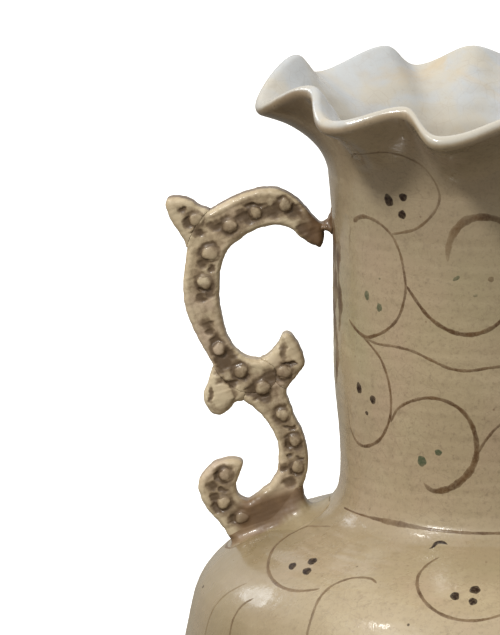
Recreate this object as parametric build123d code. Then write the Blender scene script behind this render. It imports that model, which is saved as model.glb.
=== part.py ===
from build123d import *
import math
import os

# Ceramic pitcher, hand-built from separately formed clay members that are luted
# together: base slab, foot ring, lower wall, shoulder, neck, ruffled rim, and a
# cast scroll handle of C and S members with applied pellets.
# Frame: millimetres, +Z up, Z = 0 on the table under the foot ring, the vessel's
# axis on Z. The handle stands in the XZ plane on the -X side and the pouring
# lip of the rim is on the +X side.

# ---- driving dimensions -----------------------------------------------------
WALL = 6.0  # wall of the neck and rim
BODY_WALL = 6.8  # wall of the lower wall and shoulder
FLOOR_BOTTOM = 7.6  # underside of the base slab
FLOOR_TOP = 15.6  # inner floor
FOOT_OUT = 71.5  # foot ring, outer radius at the table
FOOT_IN = 60.5  # foot ring, inner radius
BELLY_SEAM = 155.4  # height of the widest line, where lower wall and shoulder meet
NECK_SEAM = 235.2  # height where the neck sits in the shoulder
RIM_SEAM = 374.2  # height where the flared rim starts
NECK_SEAM_R = 62.6  # outer radius at the neck seam
NECK_BORE = 54.0  # radius of the straight throat of the neck
BORE_LOW, BORE_HIGH = 243.0, 366.0  # span of the straight throat
RIM_SEAM_R = 64.7
HANDLE_T = 10.5  # thickness of the handle's scrolls across Y
TRIM_T = 10.5  # thickness of the spur, leaf and knee lobe across Y, flush with the scrolls
EDGE_R = 2.4  # rounding of the handle's edges
LIP_HALF = 2.95  # half thickness of the rolled lip
SEAT_INSET = 0.25  # the rim's seat stands this far inside the neck's end face

# ---- outer profile of the vessel, (radius, height) --------------------------
LOWER = [(69.7, 7.6), (68.5, 12.6), (69.7, 18.9), (73.9, 26.0), (82.3, 37.8),
         (92.4, 52.5), (103.3, 71.4), (112.6, 90.3), (119.7, 109.2), (124.3, 128.1),
         (126.4, 142.8), (126.8, BELLY_SEAM)]
SHOULDER = [(126.8, BELLY_SEAM), (126.0, 165.9), (124.3, 176.4), (122.2, 186.9),
            (119.3, 196.1), (114.2, 204.1), (107.5, 210.8), (98.7, 216.7),
            (86.1, 221.3), (74.8, 225.5), (67.2, 230.2), (NECK_SEAM_R, NECK_SEAM)]
NECK = [(NECK_SEAM_R, NECK_SEAM), (59.9, 243.6), (59.4, 254.1), (60.1, 264.6),
        (61.3, 277.2), (62.2, 289.8), (62.6, 310.8), (62.8, 336.0), (63.4, 357.0),
        (RIM_SEAM_R, RIM_SEAM)]

# ---- ruffled lip: (bearing from +X in degrees, radius, height) of the lip's
# centre line at each crest and trough. The wide trough at 0 is the pouring lip.
RUFFLE = [(0.0, 100.8, 403.2), (34.0, 88.2, 413.3), (51.0, 94.9, 404.5),
          (68.0, 87.8, 413.3), (80.5, 94.9, 404.9), (93.3, 87.1, 411.5),
          (108.0, 94.3, 402.3), (119.4, 86.7, 413.2), (138.6, 93.0, 403.6),
          (160.8, 84.6, 416.0), (189.6, 92.8, 403.4), (214.6, 84.7, 415.4),
          (232.2, 95.1, 404.2), (248.8, 86.7, 412.9), (260.3, 98.2, 401.4),
          (281.5, 88.1, 411.6), (304.0, 95.8, 404.0), (326.0, 88.2, 413.3)]

# ---- handle members, outlines in the XZ plane, (x, z) -----------------------
UPPER = [(-66.3, 349.9), (-67.0, 352.3), (-68.9, 353.6), (-71.6, 356.3), (-74.9, 360.1), (-78.9, 363.8), (-83.5, 366.5), (-88.1, 367.5), (-93.5, 367.2), (-100.2, 365.2), (-105.5, 362.8), (-110.2, 360.2), (-115.1, 357.2), (-119.3, 352.5), (-122.3, 346.5), (-123.7, 341.4), (-124.3, 336.6), (-125.0, 332.0), (-125.4, 326.4), (-125.3, 320.4), (-123.9, 314.0), (-121.5, 307.8), (-118.3, 301.0), (-115.0, 295.5), (-112.1, 290.3), (-107.9, 285.1), (-102.0, 281.2), (-95.3, 279.9), (-89.4, 281.7), (-86.4, 285.5), (-86.8, 290.7), (-90.8, 293.9), (-94.2, 294.3), (-98.2, 294.8), (-101.5, 296.9), (-104.8, 300.3), (-107.5, 305.8), (-109.1, 312.0), (-110.0, 317.5), (-110.2, 323.4), (-109.9, 330.5), (-108.5, 336.6), (-105.8, 342.0), (-101.7, 345.4), (-98.0, 348.0), (-93.7, 350.2), (-88.3, 351.6), (-83.6, 351.6), (-79.6, 349.9), (-76.3, 346.8), (-73.3, 344.9), (-70.4, 343.3), (-67.7, 342.4), (-66.4, 345.6)]
LEAF = [(-92.7, 294.2), (-90.8, 295.4), (-87.4, 298.6), (-85.0, 302.4), (-83.5, 305.0), (-81.7, 305.8), (-79.3, 304.4), (-76.6, 300.3), (-75.0, 296.2), (-74.3, 292.8), (-75.4, 290.0), (-78.8, 285.8), (-81.5, 282.1), (-85.2, 281.2), (-90.2, 283.8), (-93.5, 289.0)]
LOWER_SCROLL = [(-94.4, 288.1), (-89.3, 290.7), (-84.7, 288.1), (-82.2, 283.0), (-82.0, 279.0), (-80.2, 274.1), (-78.0, 268.4), (-75.3, 263.4), (-73.7, 257.9), (-72.9, 252.3), (-72.7, 247.9), (-73.8, 242.9), (-75.5, 237.9), (-76.7, 232.9), (-78.8, 228.2), (-84.0, 223.8), (-90.3, 219.9), (-96.3, 216.4), (-101.4, 215.1), (-105.6, 216.8), (-108.6, 221.1), (-111.8, 225.1), (-115.0, 228.5), (-117.4, 232.3), (-118.7, 236.2), (-119.2, 239.0), (-118.6, 242.3), (-116.4, 245.4), (-113.2, 248.5), (-109.9, 250.1), (-106.1, 250.8), (-102.9, 251.0), (-100.9, 250.1), (-100.3, 248.5), (-101.1, 245.7), (-102.5, 242.3), (-103.3, 238.5), (-102.5, 235.7), (-100.9, 233.8), (-98.2, 233.2), (-95.5, 234.6), (-92.2, 237.4), (-89.0, 240.1), (-86.5, 244.0), (-85.4, 248.5), (-85.2, 253.5), (-85.8, 259.0), (-87.7, 263.4), (-90.9, 268.4), (-95.2, 272.8), (-98.9, 275.6), (-100.8, 278.6), (-98.6, 283.8)]
KNEE = [(-112.9, 290.7), (-114.7, 285.2), (-116.8, 279.0), (-116.5, 275.5), (-114.5, 272.0), (-112.5, 270.4), (-109.2, 270.1), (-106.5, 272.0), (-103.4, 275.5), (-100.4, 276.5), (-97.8, 279.5), (-99.5, 284.7), (-104.5, 289.0), (-109.5, 292.5)]
SPUR = [(-114.7, 357.8), (-118.3, 359.4), (-121.5, 361.8), (-125.5, 363.1), (-129.7, 363.5), (-131.9, 362.4), (-132.7, 359.8), (-131.0, 354.3), (-128.4, 350.2), (-125.3, 345.4), (-123.5, 341.4), (-119.9, 342.3), (-115.6, 348.2), (-112.2, 354.2)]
PAD = [(-107.3, 217.7), (-103.5, 216.0), (-101.4, 216.4), (-78.8, 229.1), (-77.1, 233.0), (-74.6, 231.7), (-70.4, 228.2), (-67.9, 219.5), (-98.6, 204.1), (-107.8, 209.8)]
WAD = [(-68.6, 349.9), (-67.9, 353.4), (-65.8, 355.6), (-63.9, 357.6), (-62.2, 359.5), (-56.9, 359.3), (-57.0, 345.5), (-62.0, 345.9), (-64.2, 347.6), (-66.4, 348.4)]
PAD_T, WAD_T = 15.0, 12.0
# applied pellets on both faces of the handle: (x, z, radius)
BEADS = [(-119.8, 354.3, 2.6), (-105.8, 351.8, 2.75), (-113.9, 340.2, 3.1), (-116.2, 327.6, 2.8), (-94.9, 357.4, 2.3), (-82.4, 361.0, 2.6), (-110.1, 299.1, 2.55), (-101.1, 289.5, 2.65), (-91.8, 282.5, 2.85), (-82.7, 289.4, 2.75), (-83.4, 270.9, 2.5), (-78.4, 259.8, 2.3), (-77.2, 248.2, 2.25), (-107.6, 244.5, 2.45), (-108.4, 232.5, 2.55), (-100.4, 226.1, 2.6)]


def offset_inwards(points, wall):
    """The profile points moved inwards by the wall's thickness, square to the profile."""
    out = []
    for i, (r, z) in enumerate(points):
        a, b = points[max(i - 1, 0)], points[min(i + 1, len(points) - 1)]
        tr, tz = b[0] - a[0], b[1] - a[1]
        n = math.hypot(tr, tz)
        out.append((r - wall * tz / n, z + wall * tr / n))
    return out


def ring_of_profile(outer, inner):
    """Closed (r, z) loop: outer spline up, straight across, inner spline down, straight back, revolved."""
    o = Spline(*[Vector(r, 0, z) for r, z in outer])
    i = Spline(*[Vector(r, 0, z) for r, z in inner])
    top = Line(o @ 1, i @ 1)
    bottom = Line(i @ 0, o @ 0)
    face = Face(Wire([o, top, i, bottom]))
    return revolve(face, Axis.Z, 360)


def filled_profile(outer):
    """The same outer profile filled to the axis, used to trim what meets the wall."""
    o = Spline(*[Vector(r, 0, z) for r, z in outer])
    z0, z1 = outer[0][1], outer[-1][1]
    face = Face(Wire([o, Line(o @ 1, Vector(0, 0, z1)), Line(Vector(0, 0, z1), Vector(0, 0, z0)), Line(Vector(0, 0, z0), o @ 0)]))
    return revolve(face, Axis.Z, 360)


# ---- base slab and foot ring ------------------------------------------------
SLAB_R = 63.0
base_slab = Pos(0, 0, (FLOOR_BOTTOM + FLOOR_TOP) / 2) * Cylinder(SLAB_R, FLOOR_TOP - FLOOR_BOTTOM)
foot_face = Face(Wire([
    Line((FOOT_IN, 0, 1.2), (FOOT_IN + 1.2, 0, 0)),
    Line((FOOT_IN + 1.2, 0, 0), (FOOT_OUT - 2.0, 0, 0)),
    ThreePointArc((FOOT_OUT - 2.0, 0, 0), (FOOT_OUT - 0.4, 0, 0.9), (FOOT_OUT, 0, 2.6)),
    Spline((FOOT_OUT, 0, 2.6), (FOOT_OUT - 0.3, 0, 5.0), (69.7, 0, FLOOR_BOTTOM)),
    Line((69.7, 0, FLOOR_BOTTOM), (FOOT_IN, 0, FLOOR_BOTTOM)),
    Line((FOOT_IN, 0, FLOOR_BOTTOM), (FOOT_IN, 0, 1.2)),
]))
foot_ring = revolve(foot_face, Axis.Z, 360)

# ---- lower wall: rises from the foot ring round the slab to the widest line --
low_in = offset_inwards(LOWER, BODY_WALL)
low_in = [(SLAB_R, FLOOR_TOP)] + [p for p in low_in if p[1] > FLOOR_TOP + 3.5]
low_in[-1] = (126.8 - BODY_WALL, BELLY_SEAM)
o = Spline(*[Vector(r, 0, z) for r, z in LOWER])
i = Spline(*[Vector(r, 0, z) for r, z in low_in])
lower_wall = revolve(Face(Wire([
    o, Line(o @ 1, i @ 1), i,
    Line((SLAB_R, 0, FLOOR_TOP), (SLAB_R, 0, FLOOR_BOTTOM)),
    Line((SLAB_R, 0, FLOOR_BOTTOM), o @ 0)])), Axis.Z, 360)

# ---- shoulder ---------------------------------------------------------------
sh_in = offset_inwards(SHOULDER, BODY_WALL)
sh_in[0] = (126.8 - BODY_WALL, BELLY_SEAM)
sh_in = sh_in[:-2] + [(58.6, 228.4), (56.4, NECK_SEAM)]
shoulder = ring_of_profile(SHOULDER, sh_in)

# ---- neck: a thrown tube with a straight throat ------------------------------
neck_outer = Spline(*[Vector(r, 0, z) for r, z in NECK])
rim_in_r = RIM_SEAM_R - WALL
neck = revolve(Face(Wire([
    neck_outer,
    Line(neck_outer @ 1, (rim_in_r, 0, RIM_SEAM)),
    Line((rim_in_r, 0, RIM_SEAM), (NECK_BORE, 0, BORE_HIGH)),
    Line((NECK_BORE, 0, BORE_HIGH), (NECK_BORE, 0, BORE_LOW)),
    Line((NECK_BORE, 0, BORE_LOW), (56.4, 0, NECK_SEAM)),
    Line((56.4, 0, NECK_SEAM), neck_outer @ 0)])), Axis.Z, 360)

# ---- ruffled rim --------------------------------------------------------------


def lip_at(bearing):
    """Radius and height of the lip's centre line at a bearing in degrees: half-cosine steps between the crests and troughs."""
    a = bearing % 360.0
    n = len(RUFFLE)
    for k in range(n):
        p, q = RUFFLE[k], RUFFLE[(k + 1) % n]
        hi = q[0] if k + 1 < n else 360.0
        if p[0] <= a <= hi:
            t = (a - p[0]) / (hi - p[0])
            s = (1 - math.cos(math.pi * t)) / 2
            return p[1] + (q[1] - p[1]) * s, p[2] + (q[2] - p[2]) * s
    return RUFFLE[0][1], RUFFLE[0][2]


def rim_mid(bearing, t):
    """The wall's mid line at a bearing, t from 0 at the seam to 1 at the lip's centre: point and unit tangent in (r, z)."""
    r1, z1 = lip_at(bearing)
    r0, z0 = RIM_SEAM_R - WALL / 2, RIM_SEAM
    crest = min(1.0, max(0.0, (z1 - 402.0) / 13.0))
    a = math.radians(14 + 34 * crest)
    t0 = (2.0, 44.0)
    t1 = (46.0 * math.cos(a), 46.0 * math.sin(a))
    h00, h10 = 2 * t**3 - 3 * t**2 + 1, t**3 - 2 * t**2 + t
    h01, h11 = -2 * t**3 + 3 * t**2, t**3 - t**2
    d00, d10 = 6 * t**2 - 6 * t, 3 * t**2 - 4 * t + 1
    d01, d11 = -6 * t**2 + 6 * t, 3 * t**2 - 2 * t
    p = [h00 * u + h10 * v + h01 * w + h11 * x for u, v, w, x in ((r0, t0[0], r1, t1[0]), (z0, t0[1], z1, t1[1]))]
    d = [d00 * u + d10 * v + d01 * w + d11 * x for u, v, w, x in ((r0, t0[0], r1, t1[0]), (z0, t0[1], z1, t1[1]))]
    n = math.hypot(*d)
    return p, (d[0] / n, d[1] / n)


def rim_point(bearing, kind, t):
    (r, z), (dr, dz) = rim_mid(bearing, t if kind != "lip" else 1.0)
    h = WALL / 2 + (LIP_HALF - WALL / 2) * (t if kind != "lip" else 1.0)
    nr, nz = dz, -dr  # square to the wall, towards the outside
    if kind == "outer":
        if t == 0:
            return RIM_SEAM_R - SEAT_INSET, RIM_SEAM
        return r + h * nr, z + h * nz
    if kind == "inner":
        if t == 0:
            return RIM_SEAM_R - WALL + SEAT_INSET, RIM_SEAM
        return r - h * nr, z - h * nz
    c, s = math.cos(t), math.sin(t)
    return r + h * (nr * c + dr * s), z + h * (nz * c + dz * s)


RIM_POINTS = 72
rings = [("outer", t) for t in (0, 0.14, 0.3, 0.46, 0.62, 0.77, 0.9, 1.0)]
rings += [("lip", math.radians(a)) for a in (45, 90, 135)]
rings += [("inner", t) for t in (1.0, 0.9, 0.77, 0.62, 0.46, 0.3, 0.14, 0)]
wires = []
for kind, t in rings:
    pts = []
    for k in range(RIM_POINTS):
        b = 360.0 * k / RIM_POINTS
        r, z = rim_point(b, kind, t)
        pts.append(Vector(r * math.cos(math.radians(b)), r * math.sin(math.radians(b)), z))
    wires.append(Wire([Edge.make_spline(pts, periodic=True)]))
skin = Shell.make_loft(wires)
seat = Face(wires[0], [wires[-1]])
ruffled_rim = Solid(Shell(list(skin.faces()) + [seat]))
if ruffled_rim.volume < 0:
    ruffled_rim = Solid(ruffled_rim.wrapped.Reversed())

# ---- handle ---------------------------------------------------------------------


def member(outline, thickness, radius):
    """An outline in the XZ plane as a plate centred on Y = 0, with its edges rounded."""
    edge = Edge.make_spline([Vector(x, thickness / 2, z) for x, z in outline], periodic=True)
    face = Face(Wire([edge]))
    solid = Solid.extrude(face, Vector(0, -thickness, 0))
    rims = [e for e in solid.edges() if abs(abs(e.center().Y) - thickness / 2) < 0.2 and e.length > 8]
    for r in (radius, radius * 0.75, radius * 0.5):
        try:
            rounded = solid.fillet(r, rims)
            if rounded.is_valid and rounded.volume > 0:
                return rounded, r
        except Exception:
            continue
    return solid, 0.0


def one(shape):
    """The largest solid of a cut."""
    found = shape.solids() if hasattr(shape, "solids") else [shape]
    return max(found, key=lambda s: s.volume)


vessel_fill = filled_profile(SHOULDER)
neck_fill = filled_profile(NECK)

upper, fu = member(UPPER, HANDLE_T, EDGE_R)
lower, fl = member(LOWER_SCROLL, HANDLE_T, EDGE_R)
leaf, fa = member(LEAF, TRIM_T, 2.0)
knee, fk_ = member(KNEE, TRIM_T, 2.0)
spur, fs = member(SPUR, TRIM_T, 2.0)
pad, fp = member(PAD, PAD_T, 3.0)
wad, fw = member(WAD, WAD_T, 2.0)
print("edge rounding", fu, fl, fa, fk_, fs, fp, fw)

handle_upper_scroll = one(upper - neck_fill)
handle_lower_scroll = one((lower - upper) - vessel_fill)
handle_leaf = one((leaf - upper) - handle_lower_scroll)
handle_knee_lobe = one((knee - upper) - handle_lower_scroll)
handle_thumb_spur = one(spur - upper)
handle_foot_pad = one((pad - handle_lower_scroll) - vessel_fill)
handle_neck_wad = one((wad - upper) - neck_fill)

# ---- pellets: low domes on both faces ---------------------------------------------
domes = []
for x, z, r in BEADS:
    half = HANDLE_T / 2
    cap_h = 0.62 * r
    big = (r * r + cap_h * cap_h) / (2 * cap_h)
    for side in (1, -1):
        ball = Pos(x, side * (half + cap_h - big), z) * Sphere(big)
        keep = Pos(x, side * (half + cap_h), z) * Box(4 * big, 2 * cap_h, 4 * big)
        domes.append(one(ball & keep))
handle_pellets = Compound(children=domes)

parts = {
    "base_slab": base_slab,
    "foot_ring": foot_ring,
    "lower_wall": lower_wall,
    "shoulder": shoulder,
    "neck": neck,
    "ruffled_rim": ruffled_rim,
    "handle_upper_scroll": handle_upper_scroll,
    "handle_lower_scroll": handle_lower_scroll,
    "handle_leaf": handle_leaf,
    "handle_knee_lobe": handle_knee_lobe,
    "handle_thumb_spur": handle_thumb_spur,
    "handle_foot_pad": handle_foot_pad,
    "handle_neck_wad": handle_neck_wad,
    "handle_pellets": handle_pellets,
}
os.makedirs("parts", exist_ok=True)
for name, shape in parts.items():
    export_step(shape, f"parts/{name}.step")
    print(name, "volume", round(sum(s.volume for s in shape.solids()), 1))
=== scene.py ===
import math

import bpy
import numpy as np
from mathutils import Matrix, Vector


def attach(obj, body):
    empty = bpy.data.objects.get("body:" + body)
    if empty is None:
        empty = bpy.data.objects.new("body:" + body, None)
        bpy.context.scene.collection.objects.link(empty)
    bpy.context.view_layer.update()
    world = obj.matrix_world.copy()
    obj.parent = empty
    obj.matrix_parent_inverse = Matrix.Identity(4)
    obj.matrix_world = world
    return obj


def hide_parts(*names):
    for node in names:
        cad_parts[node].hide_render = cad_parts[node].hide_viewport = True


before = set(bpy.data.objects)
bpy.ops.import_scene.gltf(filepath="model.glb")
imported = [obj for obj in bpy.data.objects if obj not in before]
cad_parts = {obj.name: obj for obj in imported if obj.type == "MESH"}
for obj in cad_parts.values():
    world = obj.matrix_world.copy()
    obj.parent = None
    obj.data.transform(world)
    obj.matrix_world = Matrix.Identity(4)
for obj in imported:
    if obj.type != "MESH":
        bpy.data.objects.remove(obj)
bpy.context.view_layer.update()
MM = 0.001
scene = bpy.context.scene
COLL = scene.collection

# =============================================================================
# 1. The vessel's surface: one profile, one lip line, shared by every piece
# =============================================================================
OUTER = [(69.7, 7.6), (68.5, 12.6), (69.7, 18.9), (73.9, 26.0), (82.3, 37.8),
         (92.4, 52.5), (103.3, 71.4), (112.6, 90.3), (119.7, 109.2), (124.3, 128.1),
         (126.4, 142.8), (126.8, 155.4), (126.0, 165.9), (124.3, 176.4), (122.2, 186.9),
         (119.3, 196.1), (114.2, 204.1), (107.5, 210.8), (98.7, 216.7), (86.1, 221.3),
         (74.8, 225.5), (67.2, 230.2), (61.3, 236.9), (59.6, 243.6), (59.4, 254.1),
         (60.1, 264.6), (61.3, 277.2), (62.2, 289.8), (62.6, 310.8), (62.8, 336.0),
         (63.4, 357.0), (64.7, 374.2)]
RIM_SEAM, RIM_R, WALL, BODY_WALL = 374.2, 64.7, 6.0, 6.8
RUFFLE = [(0.0, 100.8, 403.2), (34.0, 88.2, 413.3), (51.0, 94.9, 404.5),
          (68.0, 87.8, 413.3), (80.5, 94.9, 404.9), (93.3, 87.1, 411.5),
          (108.0, 94.3, 402.3), (119.4, 86.7, 413.2), (138.6, 93.0, 403.6),
          (160.8, 84.6, 416.0), (189.6, 92.8, 403.4), (214.6, 84.7, 415.4),
          (230.7, 97.0, 405.6), (248.8, 86.7, 412.9), (259.3, 98.6, 403.6),
          (281.5, 88.1, 411.6), (304.0, 95.8, 404.0), (326.0, 88.2, 413.3)]


class Curve2:
    """A natural cubic through points in (r, z), by chord length."""

    def __init__(self, points):
        p = np.array(points, float)
        n = len(p)
        d = np.r_[0, np.cumsum(np.hypot(*np.diff(p, axis=0).T))]
        h = np.diff(d)
        a = np.zeros((n, n))
        b = np.zeros((n, 2))
        a[0, 0] = a[-1, -1] = 1
        for i in range(1, n - 1):
            a[i, i - 1], a[i, i], a[i, i + 1] = h[i - 1], 2 * (h[i - 1] + h[i]), h[i]
            b[i] = 6 * ((p[i + 1] - p[i]) / h[i] - (p[i] - p[i - 1]) / h[i - 1])
        self.p, self.d, self.m = p, d, np.linalg.solve(a, b)
        self.length = d[-1]

    def __call__(self, s):
        s = np.asarray(s, float)
        i = np.clip(np.searchsorted(self.d, s, side="right") - 1, 0, len(self.d) - 2)
        h = (self.d[i + 1] - self.d[i])[..., None]
        u = (s - self.d[i])[..., None] / h
        w = 1 - u
        return (w * self.p[i] + u * self.p[i + 1]
                + ((w**3 - w) * self.m[i] + (u**3 - u) * self.m[i + 1]) * h * h / 6)

    def at_height(self, z, lo, hi):
        for _ in range(60):
            mid = (lo + hi) / 2
            if self(mid)[1] < z:
                lo = mid
            else:
                hi = mid
        return (lo + hi) / 2


PROFILE = Curve2(OUTER)
S_BELLY = PROFILE.at_height(155.4, 100, 220)
S_NECK = PROFILE.at_height(235.2, 255, 290)
S_RIM = PROFILE.length


def wobble(th, s):
    """The small unevenness of a hand-raised wall, in mm, along the wall's normal."""
    fade = np.clip(s / 18, 0, 1) * np.clip((S_RIM - s) / 14, 0, 1)
    big = 1 + 1.2 * np.clip((S_NECK - s) / 40, 0, 1)
    w = (0.16 * np.sin(2 * th + 0.011 * s + 0.4) + 0.12 * np.sin(3 * th - 0.019 * s + 1.9)
         + 0.08 * np.sin(5 * th + 0.043 * s + 0.7) + 0.05 * np.sin(9 * th - 0.06 * s)
         + 0.07 * np.sin(0.16 * s + 1.4 * np.sin(th + 0.3)) + (0.035 * np.sin(0.83 * s + 2 * th) + 0.028 * np.sin(1.37 * s - th + 1.1)) * (1 - 0.7 * np.clip((s - 150) / 30, 0, 1) * np.clip((262 - s) / 20, 0, 1)))
    return w * fade * big


def smooth01(x):
    x = np.clip(x, 0, 1)
    return x * x * (3 - 2 * x)


_bear = np.array([r[0] for r in RUFFLE] + [360.0])
_lip = np.array([[r[1], r[2]] for r in RUFFLE] + [[RUFFLE[0][1], RUFFLE[0][2]]])
_fine = np.arange(0, 360, 0.5)
_k = np.clip(np.searchsorted(_bear, _fine, side="right") - 1, 0, len(_bear) - 2)
_u = (_fine - _bear[_k]) / (_bear[_k + 1] - _bear[_k])
_s = (1 - np.cos(np.pi * _u)) / 2
_tab = _lip[_k] + (_lip[_k + 1] - _lip[_k]) * _s[:, None]
_win = np.hanning(13)
_win /= _win.sum()
_tab = np.stack([np.convolve(np.r_[_tab[-6:, c], _tab[:, c], _tab[:6, c]], _win, "valid") for c in (0, 1)], 1)


def lip(th):
    """Radius and height of the lip's centre line at a bearing in radians."""
    b = np.degrees(th) % 360
    return np.stack([np.interp(b, np.r_[_fine, 360], np.r_[_tab[:, c], _tab[0, c]]) for c in (0, 1)], -1)


def rim_mid(th, t):
    """Mid line of the rim's wall: point and unit tangent in (r, z), t from 0 at the seam to 1 at the lip."""
    end = lip(th)
    crest = np.clip((end[..., 1] - 402.0) / 13.0, 0, 1)
    a = np.radians(12 + 36 * crest)
    p0 = np.array([RIM_R - WALL / 2, RIM_SEAM])
    m0 = np.array([3.6, 44.0])
    m1 = np.stack([46 * np.cos(a), 46 * np.sin(a)], -1)
    t = np.asarray(t, float)[..., None] if np.ndim(t) else t
    p = (2 * t**3 - 3 * t**2 + 1) * p0 + (t**3 - 2 * t**2 + t) * m0 + (3 * t**2 - 2 * t**3) * end + (t**3 - t**2) * m1
    d = (6 * t**2 - 6 * t) * p0 + (3 * t**2 - 4 * t + 1) * m0 + (6 * t - 6 * t**2) * end + (3 * t**2 - 2 * t) * m1
    return p, d / np.linalg.norm(d, axis=-1, keepdims=True)


def half_wall(t, th):
    """Half thickness of the rim's wall: a little thinner below the rolled lip, uneven by hand."""
    h = 3.0 - 0.45 * smooth01(t / 0.55) + 0.5 * smooth01((t - 0.72) / 0.26)
    return h + 0.12 * np.sin(5 * th + 1.0) * t + 0.08 * np.sin(11 * th + 0.4) * t


def polar(rz, th):
    return np.stack([rz[..., 0] * np.cos(th), rz[..., 0] * np.sin(th), rz[..., 1]], -1)


def rim_outer(th, t):
    p, d = rim_mid(th, t)
    n = np.stack([d[..., 1], -d[..., 0]], -1)
    q = p + np.asarray(half_wall(t, th))[..., None] * n
    f = smooth01(np.asarray(t) / 0.12)[..., None] if np.ndim(t) else smooth01(t / 0.12)
    first = np.stack([RIM_R + 0.09 * np.asarray(t) * 44 * np.ones_like(th), RIM_SEAM + 44 * np.asarray(t) * np.ones_like(th)], -1)
    return polar(q * f + first * (1 - f), th)


RIM_RUN = 47.0  # mm of wall from the seam to the lip, near enough for the brushwork


def vessel(th, s):
    """Point on the outer surface at a bearing and a distance up the profile; it carries on into the rim above the seam."""
    th, s = np.broadcast_arrays(np.asarray(th, float), np.asarray(s, float))
    low = np.minimum(s, S_RIM)
    rz = PROFILE(low)
    e = 0.05
    d = PROFILE(np.minimum(low + e, S_RIM)) - PROFILE(np.maximum(low - e, 0))
    d = d / np.linalg.norm(d, axis=-1, keepdims=True)
    n = np.stack([d[..., 1], -d[..., 0]], -1)
    body = polar(rz + n * wobble(th, low)[..., None], th)
    over = s > S_RIM
    if over.any():
        t = np.clip((s - S_RIM) / RIM_RUN, 0, 1)
        body = np.where(over[..., None], rim_outer(th, t), body)
    return body


def vessel_frame(th, s):
    """Points, unit bearing direction, unit upward direction and outward normal."""
    e = 0.02
    p = vessel(th, s)
    a = vessel(th + e / 60, s) - vessel(th - e / 60, s)
    b = vessel(th, s + e) - vessel(th, s - e)
    a /= np.linalg.norm(a, axis=-1, keepdims=True)
    b /= np.linalg.norm(b, axis=-1, keepdims=True)
    n = np.cross(a, b)
    n /= np.linalg.norm(n, axis=-1, keepdims=True)
    return p, a, np.cross(n, a), n


# =============================================================================
# 2. Mesh helpers
# =============================================================================
def make_mesh(name, verts_mm, quads, tris=None, attrs=None, sharp=40.0, material=None):
    """A closed mesh from mm points, with shared float attributes for its material."""
    v = (np.asarray(verts_mm, float) * MM).astype(np.float32)
    quads = np.asarray(quads, np.int32).reshape(-1, 4)
    tris = np.asarray(tris if tris is not None else [], np.int32).reshape(-1, 3)
    me = bpy.data.meshes.new(name)
    me.vertices.add(len(v))
    me.vertices.foreach_set("co", v.ravel())
    loops = np.concatenate([quads.ravel(), tris.ravel()])
    me.loops.add(len(loops))
    me.loops.foreach_set("vertex_index", loops)
    me.polygons.add(len(quads) + len(tris))
    starts = np.concatenate([np.arange(len(quads)) * 4, len(quads) * 4 + np.arange(len(tris)) * 3])
    me.polygons.foreach_set("loop_start", starts.astype(np.int32))
    me.update(calc_edges=True)
    me.validate()
    me.polygons.foreach_set("use_smooth", np.ones(len(me.polygons), bool))
    for key, values in (attrs or {}).items():
        layer = me.attributes.new(key, "FLOAT", "POINT")
        layer.data.foreach_set("value", np.asarray(values, np.float32))
    if sharp:
        me.set_sharp_from_angle(angle=math.radians(sharp))
    me.update()
    ob = bpy.data.objects.new(name, me)
    COLL.objects.link(ob)
    if material:
        me.materials.append(material)
    return ob


def torus(name, rows, attrs=None, material=None, sharp=40.0):
    """rows (m, n, 3): closed both ways."""
    m, n, _ = rows.shape
    i, j = np.meshgrid(np.arange(m), np.arange(n), indexing="ij")
    i2, j2 = (i + 1) % m, (j + 1) % n
    q = np.stack([i * n + j, i * n + j2, i2 * n + j2, i2 * n + j], -1).reshape(-1, 4)
    at = {k: np.broadcast_to(v, (m, n)).ravel() for k, v in (attrs or {}).items()}
    return make_mesh(name, rows.reshape(-1, 3), q, attrs=at, material=material, sharp=sharp)


def piece(ob, slot, *nodes):
    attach(ob, "root")
    if nodes:
        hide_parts(*nodes)
    return ob


# =============================================================================
# 3. Materials
# =============================================================================
def srgb(r, g, b):
    """0-255 display values as scene-linear colour."""
    out = []
    for c in (r, g, b):
        c = c / 255
        out.append(c / 12.92 if c <= 0.04045 else ((c + 0.055) / 1.055) ** 2.4)
    return (*out, 1.0)


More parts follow.
